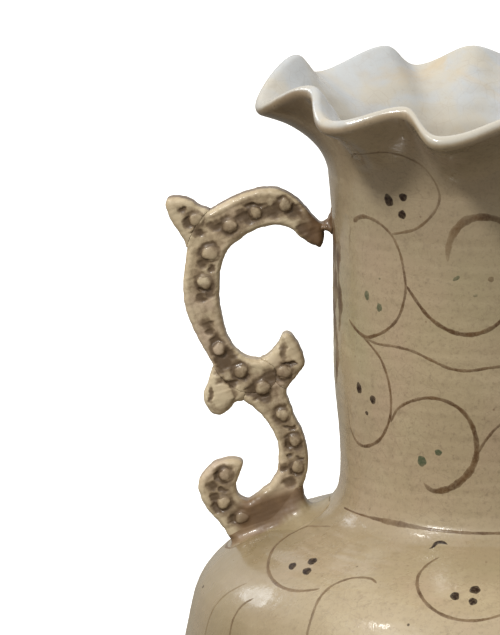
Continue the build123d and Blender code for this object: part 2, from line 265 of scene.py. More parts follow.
class Nodes:
    def __init__(self, name):
        self.mat = bpy.data.materials.new(name)
        self.mat.use_nodes = True
        self.t = self.mat.node_tree
        self.t.nodes.clear()
        self.out = self.t.nodes.new("ShaderNodeOutputMaterial")
        self.bsdf = self.t.nodes.new("ShaderNodeBsdfPrincipled")
        self.t.links.new(self.bsdf.outputs[0], self.out.inputs[0])
        self.coord = self.t.nodes.new("ShaderNodeTexCoord").outputs["Object"]

    def link(self, a, b):
        self.t.links.new(a, b)

    def put(self, socket, value):
        if isinstance(value, bpy.types.NodeSocket):
            self.t.links.new(value, socket)
        else:
            socket.default_value = value

    def noise(self, scale, detail=4.0, rough=0.55, distort=0.0, vector=None):
        n = self.t.nodes.new("ShaderNodeTexNoise")
        n.inputs["Scale"].default_value = scale
        n.inputs["Detail"].default_value = detail
        n.inputs["Roughness"].default_value = rough
        n.inputs["Distortion"].default_value = distort
        self.link(vector or self.coord, n.inputs["Vector"])
        return n.outputs["Fac"]

    def cells(self, scale, feature="DISTANCE_TO_EDGE", vector=None, output="Distance"):
        n = self.t.nodes.new("ShaderNodeTexVoronoi")
        n.feature = feature
        n.inputs["Scale"].default_value = scale
        self.link(vector or self.coord, n.inputs["Vector"])
        return n.outputs[output]

    def ramp(self, value, lo, hi, a=0.0, b=1.0, smooth=True):
        n = self.t.nodes.new("ShaderNodeMapRange")
        n.interpolation_type = "SMOOTHSTEP" if smooth else "LINEAR"
        self.put(n.inputs["Value"], value)
        n.inputs["From Min"].default_value = lo
        n.inputs["From Max"].default_value = hi
        n.inputs["To Min"].default_value = a
        n.inputs["To Max"].default_value = b
        return n.outputs["Result"]

    def math(self, op, a, b=0.0, clamp=False):
        n = self.t.nodes.new("ShaderNodeMath")
        n.operation = op
        n.use_clamp = clamp
        self.put(n.inputs[0], a)
        self.put(n.inputs[1], b)
        return n.outputs[0]

    def mix(self, fac, a, b, mode="MIX"):
        n = self.t.nodes.new("ShaderNodeMix")
        n.data_type = "RGBA"
        n.blend_type = mode
        n.clamp_factor = True
        self.put(n.inputs[0], fac)
        self.put(n.inputs[6], a)
        self.put(n.inputs[7], b)
        return n.outputs[2]

    def attr(self, name):
        n = self.t.nodes.new("ShaderNodeAttribute")
        n.attribute_name = name
        return n.outputs["Fac"]

    def xyz(self):
        n = self.t.nodes.new("ShaderNodeSeparateXYZ")
        self.link(self.coord, n.inputs[0])
        return n.outputs

    def stretch(self, x, y, z):
        n = self.t.nodes.new("ShaderNodeMapping")
        n.inputs["Scale"].default_value = (x, y, z)
        self.link(self.coord, n.inputs["Vector"])
        return n.outputs[0]

    def bump(self, height, strength, distance, normal=None):
        n = self.t.nodes.new("ShaderNodeBump")
        n.inputs["Strength"].default_value = strength
        n.inputs["Distance"].default_value = distance
        self.put(n.inputs["Height"], height)
        if normal is not None:
            self.link(normal, n.inputs["Normal"])
        return n.outputs[0]


def tan_glaze(m, warm=0.0):
    """The body glaze's colour: tan-beige, clouded pink and olive, with darker drips, specks and a fine craze. It also
    holds painted shade: a painted shadow of the rim on the upper neck, and painted shade mixed into the darker olive on
    the handle's side and round the neck's foot, and into the brown patch under the rim beside the handle's joint.
    """
    tan = srgb(148, 133, 106)
    pink = srgb(150, 131, 108)
    olive = srgb(140, 129, 100)
    pale = srgb(164, 151, 123)
    c = m.mix(m.ramp(m.noise(17, 5, 0.6, 0.4), 0.42, 0.68), tan, pink)
    c = m.mix(m.ramp(m.noise(11, 4, 0.55, 0.8, m.stretch(1.0, 1.0, 0.55)), 0.46, 0.7), c, olive)
    c = m.mix(m.ramp(m.noise(38, 5, 0.65), 0.5, 0.78, 0.0, 0.55), c, pale)
    c = m.mix(m.ramp(m.noise(260, 4, 0.7), 0.48, 0.76, 0.0, 0.48), c, srgb(120, 105, 83))
    c = m.mix(m.ramp(m.noise(700, 2, 0.6), 0.52, 0.74, 0.0, 0.42), c, srgb(112, 97, 77))
    craze = m.cells(150)
    craze2 = m.cells(420)
    line = m.math("MAXIMUM", m.ramp(craze, 0.0, 0.035, 1.0, 0.0), m.ramp(craze2, 0.0, 0.05, 0.45, 0.0))
    patch = m.ramp(m.noise(24, 3), 0.4, 0.65, 0.15, 1.0)
    line = m.math("MULTIPLY", line, patch)
    c = m.mix(m.math("MULTIPLY", line, 0.22), c, srgb(98, 82, 64))
    iron = m.cells(95, "F1")
    c = m.mix(m.ramp(iron, 0.03, 0.07, 0.55, 0.0), c, srgb(96, 70, 50))
    x, y, z = m.xyz()
    # painted shadow: the upper neck is darkened towards (122, 109, 94) where the rim's shadow falls
    c = m.mix(m.ramp(z, 0.315, 0.385, 0.0, 0.3), c, srgb(122, 109, 94))
    # a darker olive on the handle's side of the body up to the neck's foot, and in a band all round the neck's foot:
    # partly the glaze's own olive, partly painted shade
    left = m.math("MULTIPLY", m.ramp(x, -0.105, -0.04, 1.0, 0.0), m.ramp(z, 0.05, 0.13))
    over = m.math("MULTIPLY", m.math("MAXIMUM", m.math("MULTIPLY", left, 0.85), m.ramp(z, 0.214, 0.232, 0.0, 0.6)), m.ramp(z, 0.228, 0.250, 1.0, 0.0))
    c = m.mix(m.math("MULTIPLY", over, m.ramp(m.noise(21, 4, 0.6, 1.3), 0.3, 0.7, 0.75, 1.05)), c, srgb(114, 99, 70))
    # a brown patch on the neck under the rim beside the handle's joint: partly brown stain, partly painted shade
    wash = m.math("MULTIPLY", m.ramp(z, 0.340, 0.372), m.ramp(x, -0.078, -0.048, 0.6, 0.0))
    c = m.mix(m.math("MULTIPLY", wash, m.ramp(m.noise(44, 4, 0.6, 0.8), 0.3, 0.7, 0.5, 1.1)), c, srgb(92, 74, 54))
    low = m.ramp(z, 0.02, 0.10, 0.55, 0.0)
    c = m.mix(m.math("MULTIPLY", low, m.noise(30, 4, 0.6, 1.0)), c, srgb(140, 112, 84))
    return c, line


def glaze_surface(m, colour, line, rough=(0.2, 0.38), bump=1.0, coat=0.3, spec=0.4):
    m.put(m.bsdf.inputs["Base Color"], colour)
    m.put(m.bsdf.inputs["Roughness"], m.ramp(m.noise(60, 4, 0.6), 0.3, 0.7, *rough))
    m.bsdf.inputs["IOR"].default_value = 1.5
    m.bsdf.inputs["Specular IOR Level"].default_value = spec
    m.bsdf.inputs["Coat Weight"].default_value = coat
    m.bsdf.inputs["Coat Roughness"].default_value = 0.09
    m.bsdf.inputs["Coat IOR"].default_value = 1.5
    wave = m.noise(75, 3, 0.5)
    peel = m.noise(420, 3, 0.6)
    h = m.math("ADD", m.math("MULTIPLY", wave, 1.0), m.math("MULTIPLY", peel, 0.16))
    h = m.math("SUBTRACT", h, m.math("MULTIPLY", line, 0.06))
    normal = m.bump(h, 0.5 * bump, 0.0008)
    m.link(normal, m.bsdf.inputs["Normal"])
    m.link(m.bump(h, 0.32 * bump, 0.0008), m.bsdf.inputs["Coat Normal"])
    return m.mat


def material_body():
    m = Nodes("glaze_body_tan")
    c, line = tan_glaze(m)
    return glaze_surface(m, c, line)


def material_brush():
    """Brushed brown under the same glaze: the attribute ink is how much pigment lies there, hue turns it grey-green."""
    m = Nodes("glaze_brushed_brown")
    c, line = tan_glaze(m)
    ink = m.attr("ink")
    grain = m.ramp(m.noise(900, 3, 0.6), 0.3, 0.7, 0.82, 1.12)
    brown = m.mix(m.ramp(m.noise(120, 3), 0.3, 0.7), srgb(92, 70, 46), srgb(72, 52, 34))
    green = m.mix(m.noise(160, 3), srgb(58, 66, 48), srgb(76, 80, 58))
    dark = m.mix(m.noise(200, 3), srgb(36, 18, 8), srgb(22, 11, 5))
    hue = m.attr("hue")
    pig = m.mix(m.ramp(hue, 0.0, 1.0, smooth=False), brown, green)
    pig = m.mix(m.ramp(hue, 1.0, 2.0, smooth=False), pig, dark)
    c = m.mix(m.math("MULTIPLY", ink, grain, True), c, pig)
    return glaze_surface(m, c, line, rough=(0.34, 0.5), coat=0.06, spec=0.18)


def material_rim():
    """Thick off-white glaze inside and over the lip, running out to tan below it: the attribute inside says where. The
    bluish patches in the white are painted reflection.
    """
    m = Nodes("glaze_rim_white")
    c, line = tan_glaze(m)
    white = srgb(162, 157, 146)
    painted_window_blue = srgb(155, 160, 165)
    warm = srgb(166, 151, 125)
    # painted reflection: bluish patches mixed into the white stand in for a window reflected in the glossy inside of
    # the rim
    w = m.mix(m.ramp(m.noise(24, 4, 0.55, 0.6), 0.46, 0.62, 0.0, 0.75), white, painted_window_blue)
    w = m.mix(m.ramp(m.noise(23, 4, 0.6, 0.9, m.stretch(1.0, 1.3, 0.8)), 0.5, 0.7, 0.0, 0.8), w, warm)
    w = m.mix(m.ramp(m.noise(70, 4, 0.6), 0.5, 0.8, 0.0, 0.4), w, srgb(146, 136, 122))
    w = m.mix(m.ramp(m.noise(520, 3, 0.7), 0.56, 0.8, 0.0, 0.3), w, srgb(136, 124, 108))
    w = m.mix(m.math("MULTIPLY", line, 0.16), w, srgb(122, 110, 96))
    edge = m.math("ADD", m.attr("inside"), m.math("MULTIPLY", m.math("SUBTRACT", m.noise(55, 4, 0.6), 0.5), 0.5))
    c = m.mix(m.ramp(edge, 0.3, 0.75), c, w)
    return glaze_surface(m, c, line, rough=(0.12, 0.26))


def material_handle():
    """Cream glaze on the raised work, brown stain pooled in the recesses: the attributes stain and raised say where."""
    m = Nodes("glaze_handle_stained")
    cream = srgb(174, 160, 133)
    tan = srgb(166, 149, 121)
    pinkish = srgb(160, 141, 122)
    c = m.mix(m.ramp(m.noise(60, 5, 0.6, 0.5), 0.38, 0.66), cream, tan)
    c = m.mix(m.ramp(m.noise(34, 4, 0.6), 0.5, 0.74), c, pinkish)
    c = m.mix(m.attr("raised"), c, srgb(172, 158, 132))
    stain = m.math("ADD", m.attr("stain"), m.math("MULTIPLY", m.math("SUBTRACT", m.noise(260, 5, 0.72), 0.5), 1.1))
    stain = m.math("ADD", stain, m.math("MULTIPLY", m.math("SUBTRACT", m.noise(75, 4, 0.6, 0.5), 0.52), 0.9))
    c = m.mix(m.ramp(stain, 0.06, 0.66, 0.0, 0.82), c, srgb(106, 88, 66))
    c = m.mix(m.ramp(stain, 0.48, 1.1, 0.0, 0.85), c, srgb(76, 60, 43))
    c = m.mix(m.attr("wash"), c, m.mix(m.ramp(m.noise(90, 4), 0.3, 0.7), srgb(110, 86, 60), srgb(86, 64, 44)))
    speck = m.ramp(m.noise(900, 3, 0.7), 0.6, 0.8, 0.0, 0.4)
    c = m.mix(speck, c, srgb(84, 68, 50))
    skin, craze = tan_glaze(m)
    c = m.mix(m.attr("skin"), c, skin)
    line = m.ramp(m.cells(300), 0.0, 0.04, 0.4, 0.0)
    return glaze_surface(m, c, line, rough=(0.34, 0.52), bump=1.2, coat=0.12, spec=0.32)


def material_clay():
    """Bare fired clay of the foot and base: matt, sandy, with grog specks and a turned grain."""
    m = Nodes("clay_bare")
    c = m.mix(m.noise(40, 5, 0.6), srgb(188, 160, 126), srgb(166, 138, 106))
    c = m.mix(m.ramp(m.noise(600, 4, 0.7), 0.52, 0.75, 0.0, 0.6), c, srgb(132, 106, 80))
    c = m.mix(m.ramp(m.cells(260, "F1"), 0.06, 0.16, 0.8, 0.0), c, srgb(92, 70, 52))
    m.put(m.bsdf.inputs["Base Color"], c)
    m.put(m.bsdf.inputs["Roughness"], m.ramp(m.noise(200, 4), 0.3, 0.7, 0.72, 0.92))
    m.bsdf.inputs["Specular IOR Level"].default_value = 0.3
    h = m.math("ADD", m.noise(700, 5, 0.7), m.math("MULTIPLY", m.noise(90, 4), 0.8))
    m.link(m.bump(h, 0.7, 0.0006), m.bsdf.inputs["Normal"])
    return m.mat


BODY, BRUSH, RIM, HANDLE, CLAY = material_body(), material_brush(), material_rim(), material_handle(), material_clay()

# =============================================================================
# 4. Foot, lower wall, shoulder, neck, rim
# =============================================================================
TAU = 2 * math.pi


def bearings(n):
    return np.arange(n) * TAU / n


def revolve(rz, n, bump=None):
    th = bearings(n)
    rz = np.asarray(rz, float)
    return polar(np.broadcast_to(rz[:, None, :], (len(rz), n, 2)), np.broadcast_to(th, (len(rz), n)))


def offset_in(points, wall):
    out = []
    for i, (r, z) in enumerate(points):
        a, b = points[max(i - 1, 0)], points[min(i + 1, len(points) - 1)]
        tr, tz = b[0] - a[0], b[1] - a[1]
        n = math.hypot(tr, tz)
        out.append((r - wall * tz / n, z + wall * tr / n))
    return out


_in = offset_in(OUTER, BODY_WALL)
INNER_LOW = Curve2([(63.0, 15.6)] + [p for p, q in zip(_in, OUTER) if p[1] > 19.2 and q[1] < 150] + [(120.0, 155.4)])
_sh = [p for p, q in zip(_in, OUTER) if 156 < q[1] < 226]
INNER_SHOULDER = Curve2([(120.0, 155.4)] + _sh + [(58.6, 228.6), (56.4, 235.2)])
INNER_NECK = Curve2([(56.4, 235.2), (54.5, 242.0), (54.0, 255.0), (54.0, 300.0), (54.0, 345.0), (54.4, 360.0), (58.7, 374.2)])


def inner_rows(curve, n_rows, n):
    """From top to bottom, with shallow throwing rings."""
    s = np.linspace(curve.length, 0, n_rows)
    rz = curve(s)
    th = bearings(n)
    rows = revolve(rz, n)
    ripple = 0.18 * np.sin(s * 1.25)[:, None] * np.clip(np.minimum(s, curve.length - s) / 8, 0, 1)[:, None]
    ripple = ripple * (1 + 0.2 * np.sin(3 * th)[None, :])
    rows[..., 0] += ripple * np.cos(th)
    rows[..., 1] += ripple * np.sin(th)
    return rows


def wall_piece(name, s0, s1, step, n, inner, inner_n, slot, node, extra=None):
    s = np.linspace(s0, s1, max(3, int((s1 - s0) / step)))
    th = bearings(n)
    outer = vessel(th[None, :] * np.ones((len(s), 1)), s[:, None] * np.ones((1, n)))
    rows = [outer, inner_rows(inner, inner_n, n)]
    if extra is not None:
        rows.append(extra)
    return piece(torus(name, np.concatenate(rows, 0), material=BODY), slot, node)


N_TH = 360
slab_lip = revolve([(63.0, 7.6)], N_TH)
wall_piece("lower_wall_glazed", 0.0, S_BELLY, 1.6, N_TH, INNER_LOW, 60, "glaze_body", "lower_wall", slab_lip)
wall_piece("shoulder_glazed", S_BELLY, S_NECK, 1.0, N_TH, INNER_SHOULDER, 50, "glaze_body", "shoulder")
wall_piece("neck_glazed", S_NECK, S_RIM, 1.0, N_TH, INNER_NECK, 70, "glaze_body", "neck")

# foot ring: trimmed and rounded at the table, a flat annulus inside a soft arris
_foot = [(60.6, 7.6), (60.5, 5.0), (60.6, 2.2), (61.0, 0.8), (61.9, 0.1), (63.0, 0.0), (65.0, 0.0), (67.0, 0.0),
         (69.0, 0.0), (70.3, 0.25), (71.1, 1.0), (71.5, 2.2), (71.5, 3.6), (71.2, 5.0), (70.6, 6.4), (69.8, 7.6)]
_fr = revolve(_foot[::-1][::-1], N_TH)
_th = bearings(N_TH)
_lift = np.array([0, 0.4, 0.5, 0.3, 0.1, 0, 0, 0, 0, 0.1, 0.3, 0.5, 0.6, 0.4, 0.2, 0])[:, None]
_push = _lift * (0.35 * np.sin(3 * _th + 0.8) + 0.25 * np.sin(7 * _th) + 0.15 * np.sin(17 * _th + 2))[None, :]
_fr[..., 0] += _push * np.cos(_th)
_fr[..., 1] += _push * np.sin(_th)
piece(torus("foot_ring_bare", _fr, material=CLAY, sharp=50), "bare_clay", "foot_ring")

# base slab: a disc with a turned spiral underneath and a flat floor
_nr, _nt = 64, 180
_rr = np.linspace(0, 63.0, _nr)[1:]
_tb = bearings(_nt)
_a, _b = np.meshgrid(_rr, _tb, indexing="ij")
_top = 15.6 + 0.0 * _a
_bot = 7.6 + 0.25 * (1 + np.sin(_a * 1.9 - _b)) * np.clip((60 - _a) / 6, 0, 1) * np.clip(_a / 6, 0, 1)
_under = np.stack([_a * np.cos(_b), _a * np.sin(_b), _bot], -1)
_over = np.stack([_a * np.cos(_b), _a * np.sin(_b), _top], -1)
_v = np.concatenate([_under.reshape(-1, 3), _over.reshape(-1, 3), [[0, 0, 7.7], [0, 0, 15.6]]])
_m = _nr - 1
_q, _t = [], []
_i, _j = np.meshgrid(np.arange(_m - 1), np.arange(_nt), indexing="ij")
_j2 = (_j + 1) % _nt
_q.append(np.stack([_i * _nt + _j, _i * _nt + _j2, (_i + 1) * _nt + _j2, (_i + 1) * _nt + _j], -1).reshape(-1, 4))
_o = _m * _nt
_q.append(np.stack([_o + _i * _nt + _j, _o + (_i + 1) * _nt + _j, _o + (_i + 1) * _nt + _j2, _o + _i * _nt + _j2], -1).reshape(-1, 4))
_j = np.arange(_nt)
_j2 = (_j + 1) % _nt
_e = (_m - 1) * _nt
_q.append(np.stack([_e + _j, _e + _j2, _o + _e + _j2, _o + _e + _j], -1))
_c = 2 * _o
_t.append(np.stack([np.full(_nt, _c), _j2, _j], -1))
_t.append(np.stack([np.full(_nt, _c + 1), _o + _j, _o + _j2], -1))
piece(make_mesh("base_slab_bare", _v, np.concatenate(_q), np.concatenate(_t), material=CLAY), "bare_clay", "base_slab")

# ruffled rim
N_RIM = 720
th = bearings(N_RIM)
rows, inside = [], []
ts = np.r_[np.linspace(0, 0.9, 34), np.linspace(0.92, 1.0, 4)]
for t in ts:
    rows.append(rim_outer(th, t * np.ones_like(th)))
    inside.append(np.full(N_RIM, 0.18 * smooth01((t - 0.90) / 0.10)))
p1, d1 = rim_mid(th, np.ones_like(th))
n1 = np.stack([d1[:, 1], -d1[:, 0]], -1)
h1 = half_wall(1.0, th)[:, None]
for a in np.radians(np.linspace(15, 165, 11)):
    rows.append(polar(p1 + h1 * (n1 * math.cos(a) + d1 * math.sin(a)), th))
    inside.append(np.full(N_RIM, 0.18 + 0.82 * smooth01((math.degrees(a) - 25) / 110)))
for t in ts[::-1]:
    p, d = rim_mid(th, t * np.ones_like(th))
    n = np.stack([d[:, 1], -d[:, 0]], -1)
    q = p - half_wall(t, th)[:, None] * n
    f = smooth01(t / 0.12)
    first = np.stack([np.full(N_RIM, RIM_R - WALL + 0.09 * t * 44), np.full(N_RIM, RIM_SEAM + 44 * t)], -1)
    q = q * f + first * (1 - f)
    pull = 0.22 * math.sin(t * 34) * smooth01(t / 0.2) * smooth01((1 - t) / 0.2)
    q = q - n * pull * (0.6 + 0.4 * np.sin(2 * th))[:, None]
    rows.append(polar(q, th))
    inside.append(np.ones(N_RIM))
piece(torus("ruffled_rim_glazed", np.stack(rows), {"inside": np.stack(inside)}, RIM), "glaze_rim", "ruffled_rim")

# =============================================================================
# 5. Brushwork: slightly raised strokes and dots of brown under the glaze
#    Control points are (bearing in degrees, mm up the profile, width in mm, ink)
# =============================================================================


def resample(points, step):
    """A centripetal Catmull-Rom through the control points, evenly spaced."""
    p = np.array(points, float)
    xy = np.stack([np.radians(p[:, 0]) * 60.0, p[:, 1]], -1)
    n = len(p)
    d = np.sqrt(np.maximum(np.linalg.norm(np.diff(xy, axis=0), axis=1), 1e-6))
    k = np.r_[0, np.cumsum(d)]
    m = np.zeros_like(p)
    m[1:-1] = ((p[1:-1] - p[:-2]) / (k[1:-1] - k[:-2])[:, None] * (k[2:] - k[1:-1])[:, None]
               + (p[2:] - p[1:-1]) / (k[2:] - k[1:-1])[:, None] * (k[1:-1] - k[:-2])[:, None]) / (k[2:] - k[:-2])[:, None]
    m[0] = (p[1] - p[0]) / (k[1] - k[0]) * 1.5 - m[1] * 0.5
    m[-1] = (p[-1] - p[-2]) / (k[-1] - k[-2]) * 1.5 - m[-2] * 0.5
    out = []
    for i in range(n - 1):
        h = k[i + 1] - k[i]
        t = np.linspace(0, 1, 24, endpoint=i == n - 2)[:, None]
        out.append((2 * t**3 - 3 * t**2 + 1) * p[i] + (t**3 - 2 * t**2 + t) * h * m[i]
                   + (3 * t**2 - 2 * t**3) * p[i + 1] + (t**3 - t**2) * h * m[i + 1])
    q = np.concatenate(out)
    xy = np.stack([np.radians(q[:, 0]) * 60.0, q[:, 1]], -1)
    run = np.r_[0, np.cumsum(np.linalg.norm(np.diff(xy, axis=0), axis=1))]
    want = np.linspace(0, run[-1], max(4, int(run[-1] / step) + 1))
    return np.stack([np.interp(want, run, q[:, c]) for c in range(4)], -1), want


PROF_U = np.array([-1.0, -0.82, -0.5, 0.0, 0.5, 0.82, 1.0])


def stroke(points, relief=0.07, hue=0.0, seed=0.0):
    """Closed ribbon on the vessel. Returns verts, quads, ngon caps as tris, ink, hue."""
    q, run = resample(points, 0.8)
    width = (0.22 + 1.12 * q[:, 2]) * (1 + 0.10 * np.sin(run * 0.9 + seed) + 0.06 * np.sin(run * 2.3 + 2 * seed))
    end = np.clip(np.minimum(run, run[-1] - run) / 1.6, 0, 1)
    width = width * (0.22 + 0.78 * np.sqrt(end))
    ink = np.clip((0.06 + 1.12 * q[:, 3]) * (1 + 0.12 * np.sin(run * 0.55 + seed * 3)), 0, 1)
    th, s = np.radians(q[:, 0]), q[:, 1]
    p, a, b, n = vessel_frame(th, s)
    run3 = np.gradient(p, axis=0)
    run3 /= np.linalg.norm(run3, axis=1, keepdims=True)
    side = np.cross(n, run3)
    side /= np.linalg.norm(side, axis=1, keepdims=True)
    half = width[:, None] / 2
    # points across the stroke are put back on the surface through the bearing and the profile
    ur = (side * a).sum(1)[:, None]
    us = (side * b).sum(1)[:, None]
    radius = np.hypot(p[:, 0], p[:, 1])[:, None]
    off = half * PROF_U[None, :]
    tt = th[:, None] + off * ur / radius
    ss = s[:, None] + off * us
    pc, _, _, nc = vessel_frame(tt, ss)
    lift = relief * (1 - PROF_U**2)[None, :] * np.clip(width / 1.2, 0.5, 1.6)[:, None] - 0.012
    top = pc + nc * lift[..., None]
    sink = 0.25
    low = np.stack([pc[:, -1] - nc[:, -1] * sink, pc[:, 0] - nc[:, 0] * sink], 1)
    ring = np.concatenate([top, low], 1)
    m, k = ring.shape[:2]
    i, j = np.meshgrid(np.arange(m - 1), np.arange(k), indexing="ij")
    j2 = (j + 1) % k
    quads = np.stack([i * k + j, (i + 1) * k + j, (i + 1) * k + j2, i * k + j2], -1).reshape(-1, 4)
    fan0 = [[0, j, j + 1] for j in range(1, k - 1)]
    e = (m - 1) * k
    fan1 = [[e, e + j + 1, e + j] for j in range(1, k - 1)]
    edge = np.r_[1 - 0.45 * np.abs(PROF_U) ** 3, 0.5, 0.5]
    att = ink[:, None] * edge[None, :]
    return ring.reshape(-1, 3), quads, np.array(fan0 + fan1), att.ravel(), np.full(m * k, hue)


def dot(th_deg, s, w, h, tilt=0.0, hue=2.0, ink=1.0, relief=0.12):
    """A closed, slightly domed oval of slip."""
    rings, seg = 6, 28
    rr = np.linspace(0, 1, rings + 1)[1:]
    an = np.arange(seg) * TAU / seg
    c, sn = math.cos(math.radians(tilt)), math.sin(math.radians(tilt))
    u = rr[:, None] * np.cos(an)[None, :] * w / 2
    v = rr[:, None] * np.sin(an)[None, :] * h / 2
    wav = 1 + 0.05 * np.sin(3 * an + s) + 0.04 * np.sin(5 * an + 2 * s)
    u, v = (u * c - v * sn) * wav, (u * sn + v * c) * wav
    th0 = math.radians(th_deg)
    r0 = float(np.hypot(*vessel(np.array([th0]), np.array([s]))[0, :2]))
    tt, ss = th0 + u / r0, s + v
    pc, _, _, nc = vessel_frame(tt, ss)
    lift = relief * (1 - rr**2)[:, None] * np.ones_like(u) - 0.012
    top = pc + nc * lift[..., None]
    p0, _, _, n0 = vessel_frame(np.array([th0]), np.array([s]))
    low = pc[-1] - nc[-1] * 0.25
    verts = np.concatenate([p0 + n0 * (relief - 0.012), top.reshape(-1, 3), low, p0 - n0 * 0.25])
    tris, quads = [], []
    for j in range(seg):
        j2 = (j + 1) % seg
        tris.append([0, 1 + j, 1 + j2])
        for i in range(rings - 1):
            a, b = 1 + i * seg, 1 + (i + 1) * seg
            quads.append([a + j, b + j, b + j2, a + j2])
        a, b = 1 + (rings - 1) * seg, 1 + rings * seg
        quads.append([a + j, b + j, b + j2, a + j2])
        tris.append([b + j, 1 + (rings + 1) * seg, b + j2])
    att = np.r_[ink, np.repeat(ink * (1 - 0.3 * rr**5), seg), np.full(seg + 1, 0.5 * ink)]
    return verts, np.array(quads), np.array(tris), att, np.full(len(verts), hue)


def brushwork(name, items):
    vs, qs, ts_, inks, hues, base = [], [], [], [], [], 0
    for v, q, t, i, h in items:
        vs.append(v)
        qs.append(q + base)
        ts_.append(t + base)
        inks.append(i)
        hues.append(h)
        base += len(v)
    return piece(make_mesh(name, np.concatenate(vs), np.concatenate(qs), np.concatenate(ts_),
                           {"ink": np.concatenate(inks), "hue": np.concatenate(hues)}, sharp=60, material=BRUSH), "glaze_body")


def widths(pts, w, ink):
    """Spread width and ink lists over the points."""
    n = len(pts)
    ws = np.interp(np.linspace(0, 1, n), np.linspace(0, 1, len(w)), w)
    iks = np.interp(np.linspace(0, 1, n), np.linspace(0, 1, len(ink)), ink)
    return [(p[0], p[1], a, b) for p, a, b in zip(pts, ws, iks)]


NECK_STROKES = [
    # arc under the rim
    ([(218.4, 430.1), (223.5, 435.4), (230.6, 439.9), (237.9, 441.2), (242.1, 438.7), (246.2, 434.7), (249.2, 431.8), (251.4, 428.2), (253.1, 423.9), (254.2, 418.6), (254.1, 413.6), (252.4, 409.4), (249.0, 404.9), (244.3, 401.1), (238.9, 399.2), (234.4, 398.0)],
     (0.7, 0.8, 0.9, 0.9, 0.8, 0.8, 0.8, 0.9, 1.0, 1.1, 0.8), (0.3, 0.42, 0.45, 0.4, 0.3, 0.32, 0.4, 0.5, 0.6, 0.62, 0.45)),
    # tall oval on the left
    ([(213.1, 399.7), (216.9, 402.2), (220.9, 403.2), (227.6, 402.1), (234.1, 397.7), (237.9, 390.5), (239.7, 382.4), (240.4, 376.6), (239.3, 369.3), (236.5, 362.4), (230.4, 356.5), (225.2, 353.8), (220.8, 352.5), (216.2, 353.3), (208.4, 357.6)],
     (2.0, 1.7, 1.2, 1.0, 1.0, 1.0, 1.0, 1.1, 1.1, 1.3, 1.5, 1.1), (0.7, 0.7, 0.6, 0.55, 0.6, 0.65, 0.7, 0.75, 0.85, 0.85, 0.6)),
    ([(210.6, 396.7), (209.2, 391.1), (208.8, 384.8)], (0.9, 0.7), (0.35, 0.12)),
    # big swirl
    ([(240.7, 377.2), (245.3, 370.8), (249.7, 365.4), (255.8, 361.0), (261.9, 358.8), (267.7, 358.9), (273.4, 361.3), (278.0, 365.1), (282.4, 369.0), (286.0, 375.1), (287.8, 381.8), (287.2, 389.4), (284.6, 396.9), (280.6, 403.3), (275.6, 406.7), (269.2, 407.8), (263.6, 405.9), (259.5, 400.9), (257.5, 394.7), (257.2, 388.7)],
     (1.1, 1.3, 1.5, 1.7, 1.6, 1.2, 1.0, 1.0, 1.2, 1.8, 2.6, 3.2, 2.6, 1.2), (0.7, 0.8, 0.85, 0.85, 0.8, 0.7, 0.65, 0.65, 0.7, 0.72, 0.7, 0.66, 0.6, 0.15)),
    # wave between the two rows
    ([(219.6, 352.2), (226.2, 350.8), (236.0, 350.9), (243.7, 349.9), (251.0, 347.1), (258.1, 344.2), (265.0, 343.5), (272.2, 344.7), (280.0, 345.8), (288.0, 347.6), (296.0, 346.8), (303.0, 343.2)],
     (0.8, 1.0, 1.0, 1.1, 1.1, 1.0, 0.9, 0.7), (0.5, 0.62, 0.66, 0.7, 0.7, 0.66, 0.6, 0.3)),
    # lower left oval
    ([(217.6, 352.7), (222.1, 350.1), (227.4, 346.0), (230.7, 340.9), (232.9, 334.1), (233.5, 327.1), (232.6, 320.3), (229.9, 314.3), (226.7, 309.9), (221.5, 306.5), (215.7, 304.9), (210.2, 306.4), (207.0, 310.3), (205.9, 317.3), (206.8, 325.5)],
     (0.8, 1.0, 1.1, 1.0, 1.1, 1.2, 1.3, 1.2, 0.9, 0.6), (0.6, 0.7, 0.7, 0.7, 0.75, 0.8, 0.75, 0.6, 0.35, 0.1)),
    # scroll
    ([(233.0, 318.4), (236.5, 324.6), (242.4, 328.7), (250.0, 331.1), (256.8, 330.3), (262.8, 326.6), (266.6, 320.7), (268.4, 313.5), (268.3, 306.5), (265.8, 300.2), (260.3, 294.4), (255.1, 291.7), (250.7, 291.3), (247.0, 294.3)],
     (0.9, 1.0, 1.2, 1.3, 1.5, 1.7, 2.1, 2.7, 2.6, 2.2, 0.8), (0.6, 0.7, 0.75, 0.78, 0.8, 0.8, 0.85, 0.88, 0.85, 0.8, 0.4)),
    # branch out of the scroll
    ([(268.9, 308.2), (272.0, 313.9), (276.3, 319.6), (282.5, 324.0), (289.5, 325.6), (296.0, 323.2), (300.0, 317.6)],
     (1.0, 1.0, 0.9, 0.8, 0.6), (0.7, 0.66, 0.6, 0.5, 0.2)),
]
NECK_DOTS = [  # bearing, s, width, height, tilt, hue (0 brown, 1 grey-green, 2 dark), ink
    (233.5, 412.1, 4.4, 5.8, 28, 2, 1), (239.9, 414.3, 4.0, 3.9, 0, 2, 1), (239.3, 406.8, 4.0, 3.9, 20, 2, 1),
    (221.0, 370.1, 3.1, 4.4, 6, 1, 0.85), (227.9, 366.2, 3.2, 3.8, 0, 1, 0.9), (228.1, 378.4, 1.2, 1.0, 0, 1, 0.6),
    (260.5, 381.9, 3.6, 1.7, 32, 1, 0.75), (273.3, 381.8, 2.7, 2.5, 0, 0, 0.6), (267.6, 375.1, 2.0, 1.4, 25, 1, 0.35),
    (215.9, 329.9, 3.9, 5.0, 14, 2, 0.95), (224.1, 326.6, 3.7, 3.9, 14, 2, 0.95), (220.1, 320.0, 2.2, 1.9, 0, 2, 0.9),
    (246.4, 303.5, 4.2, 4.8, 10, 1, 1), (253.4, 307.9, 3.4, 2.8, -8, 1, 1),
]
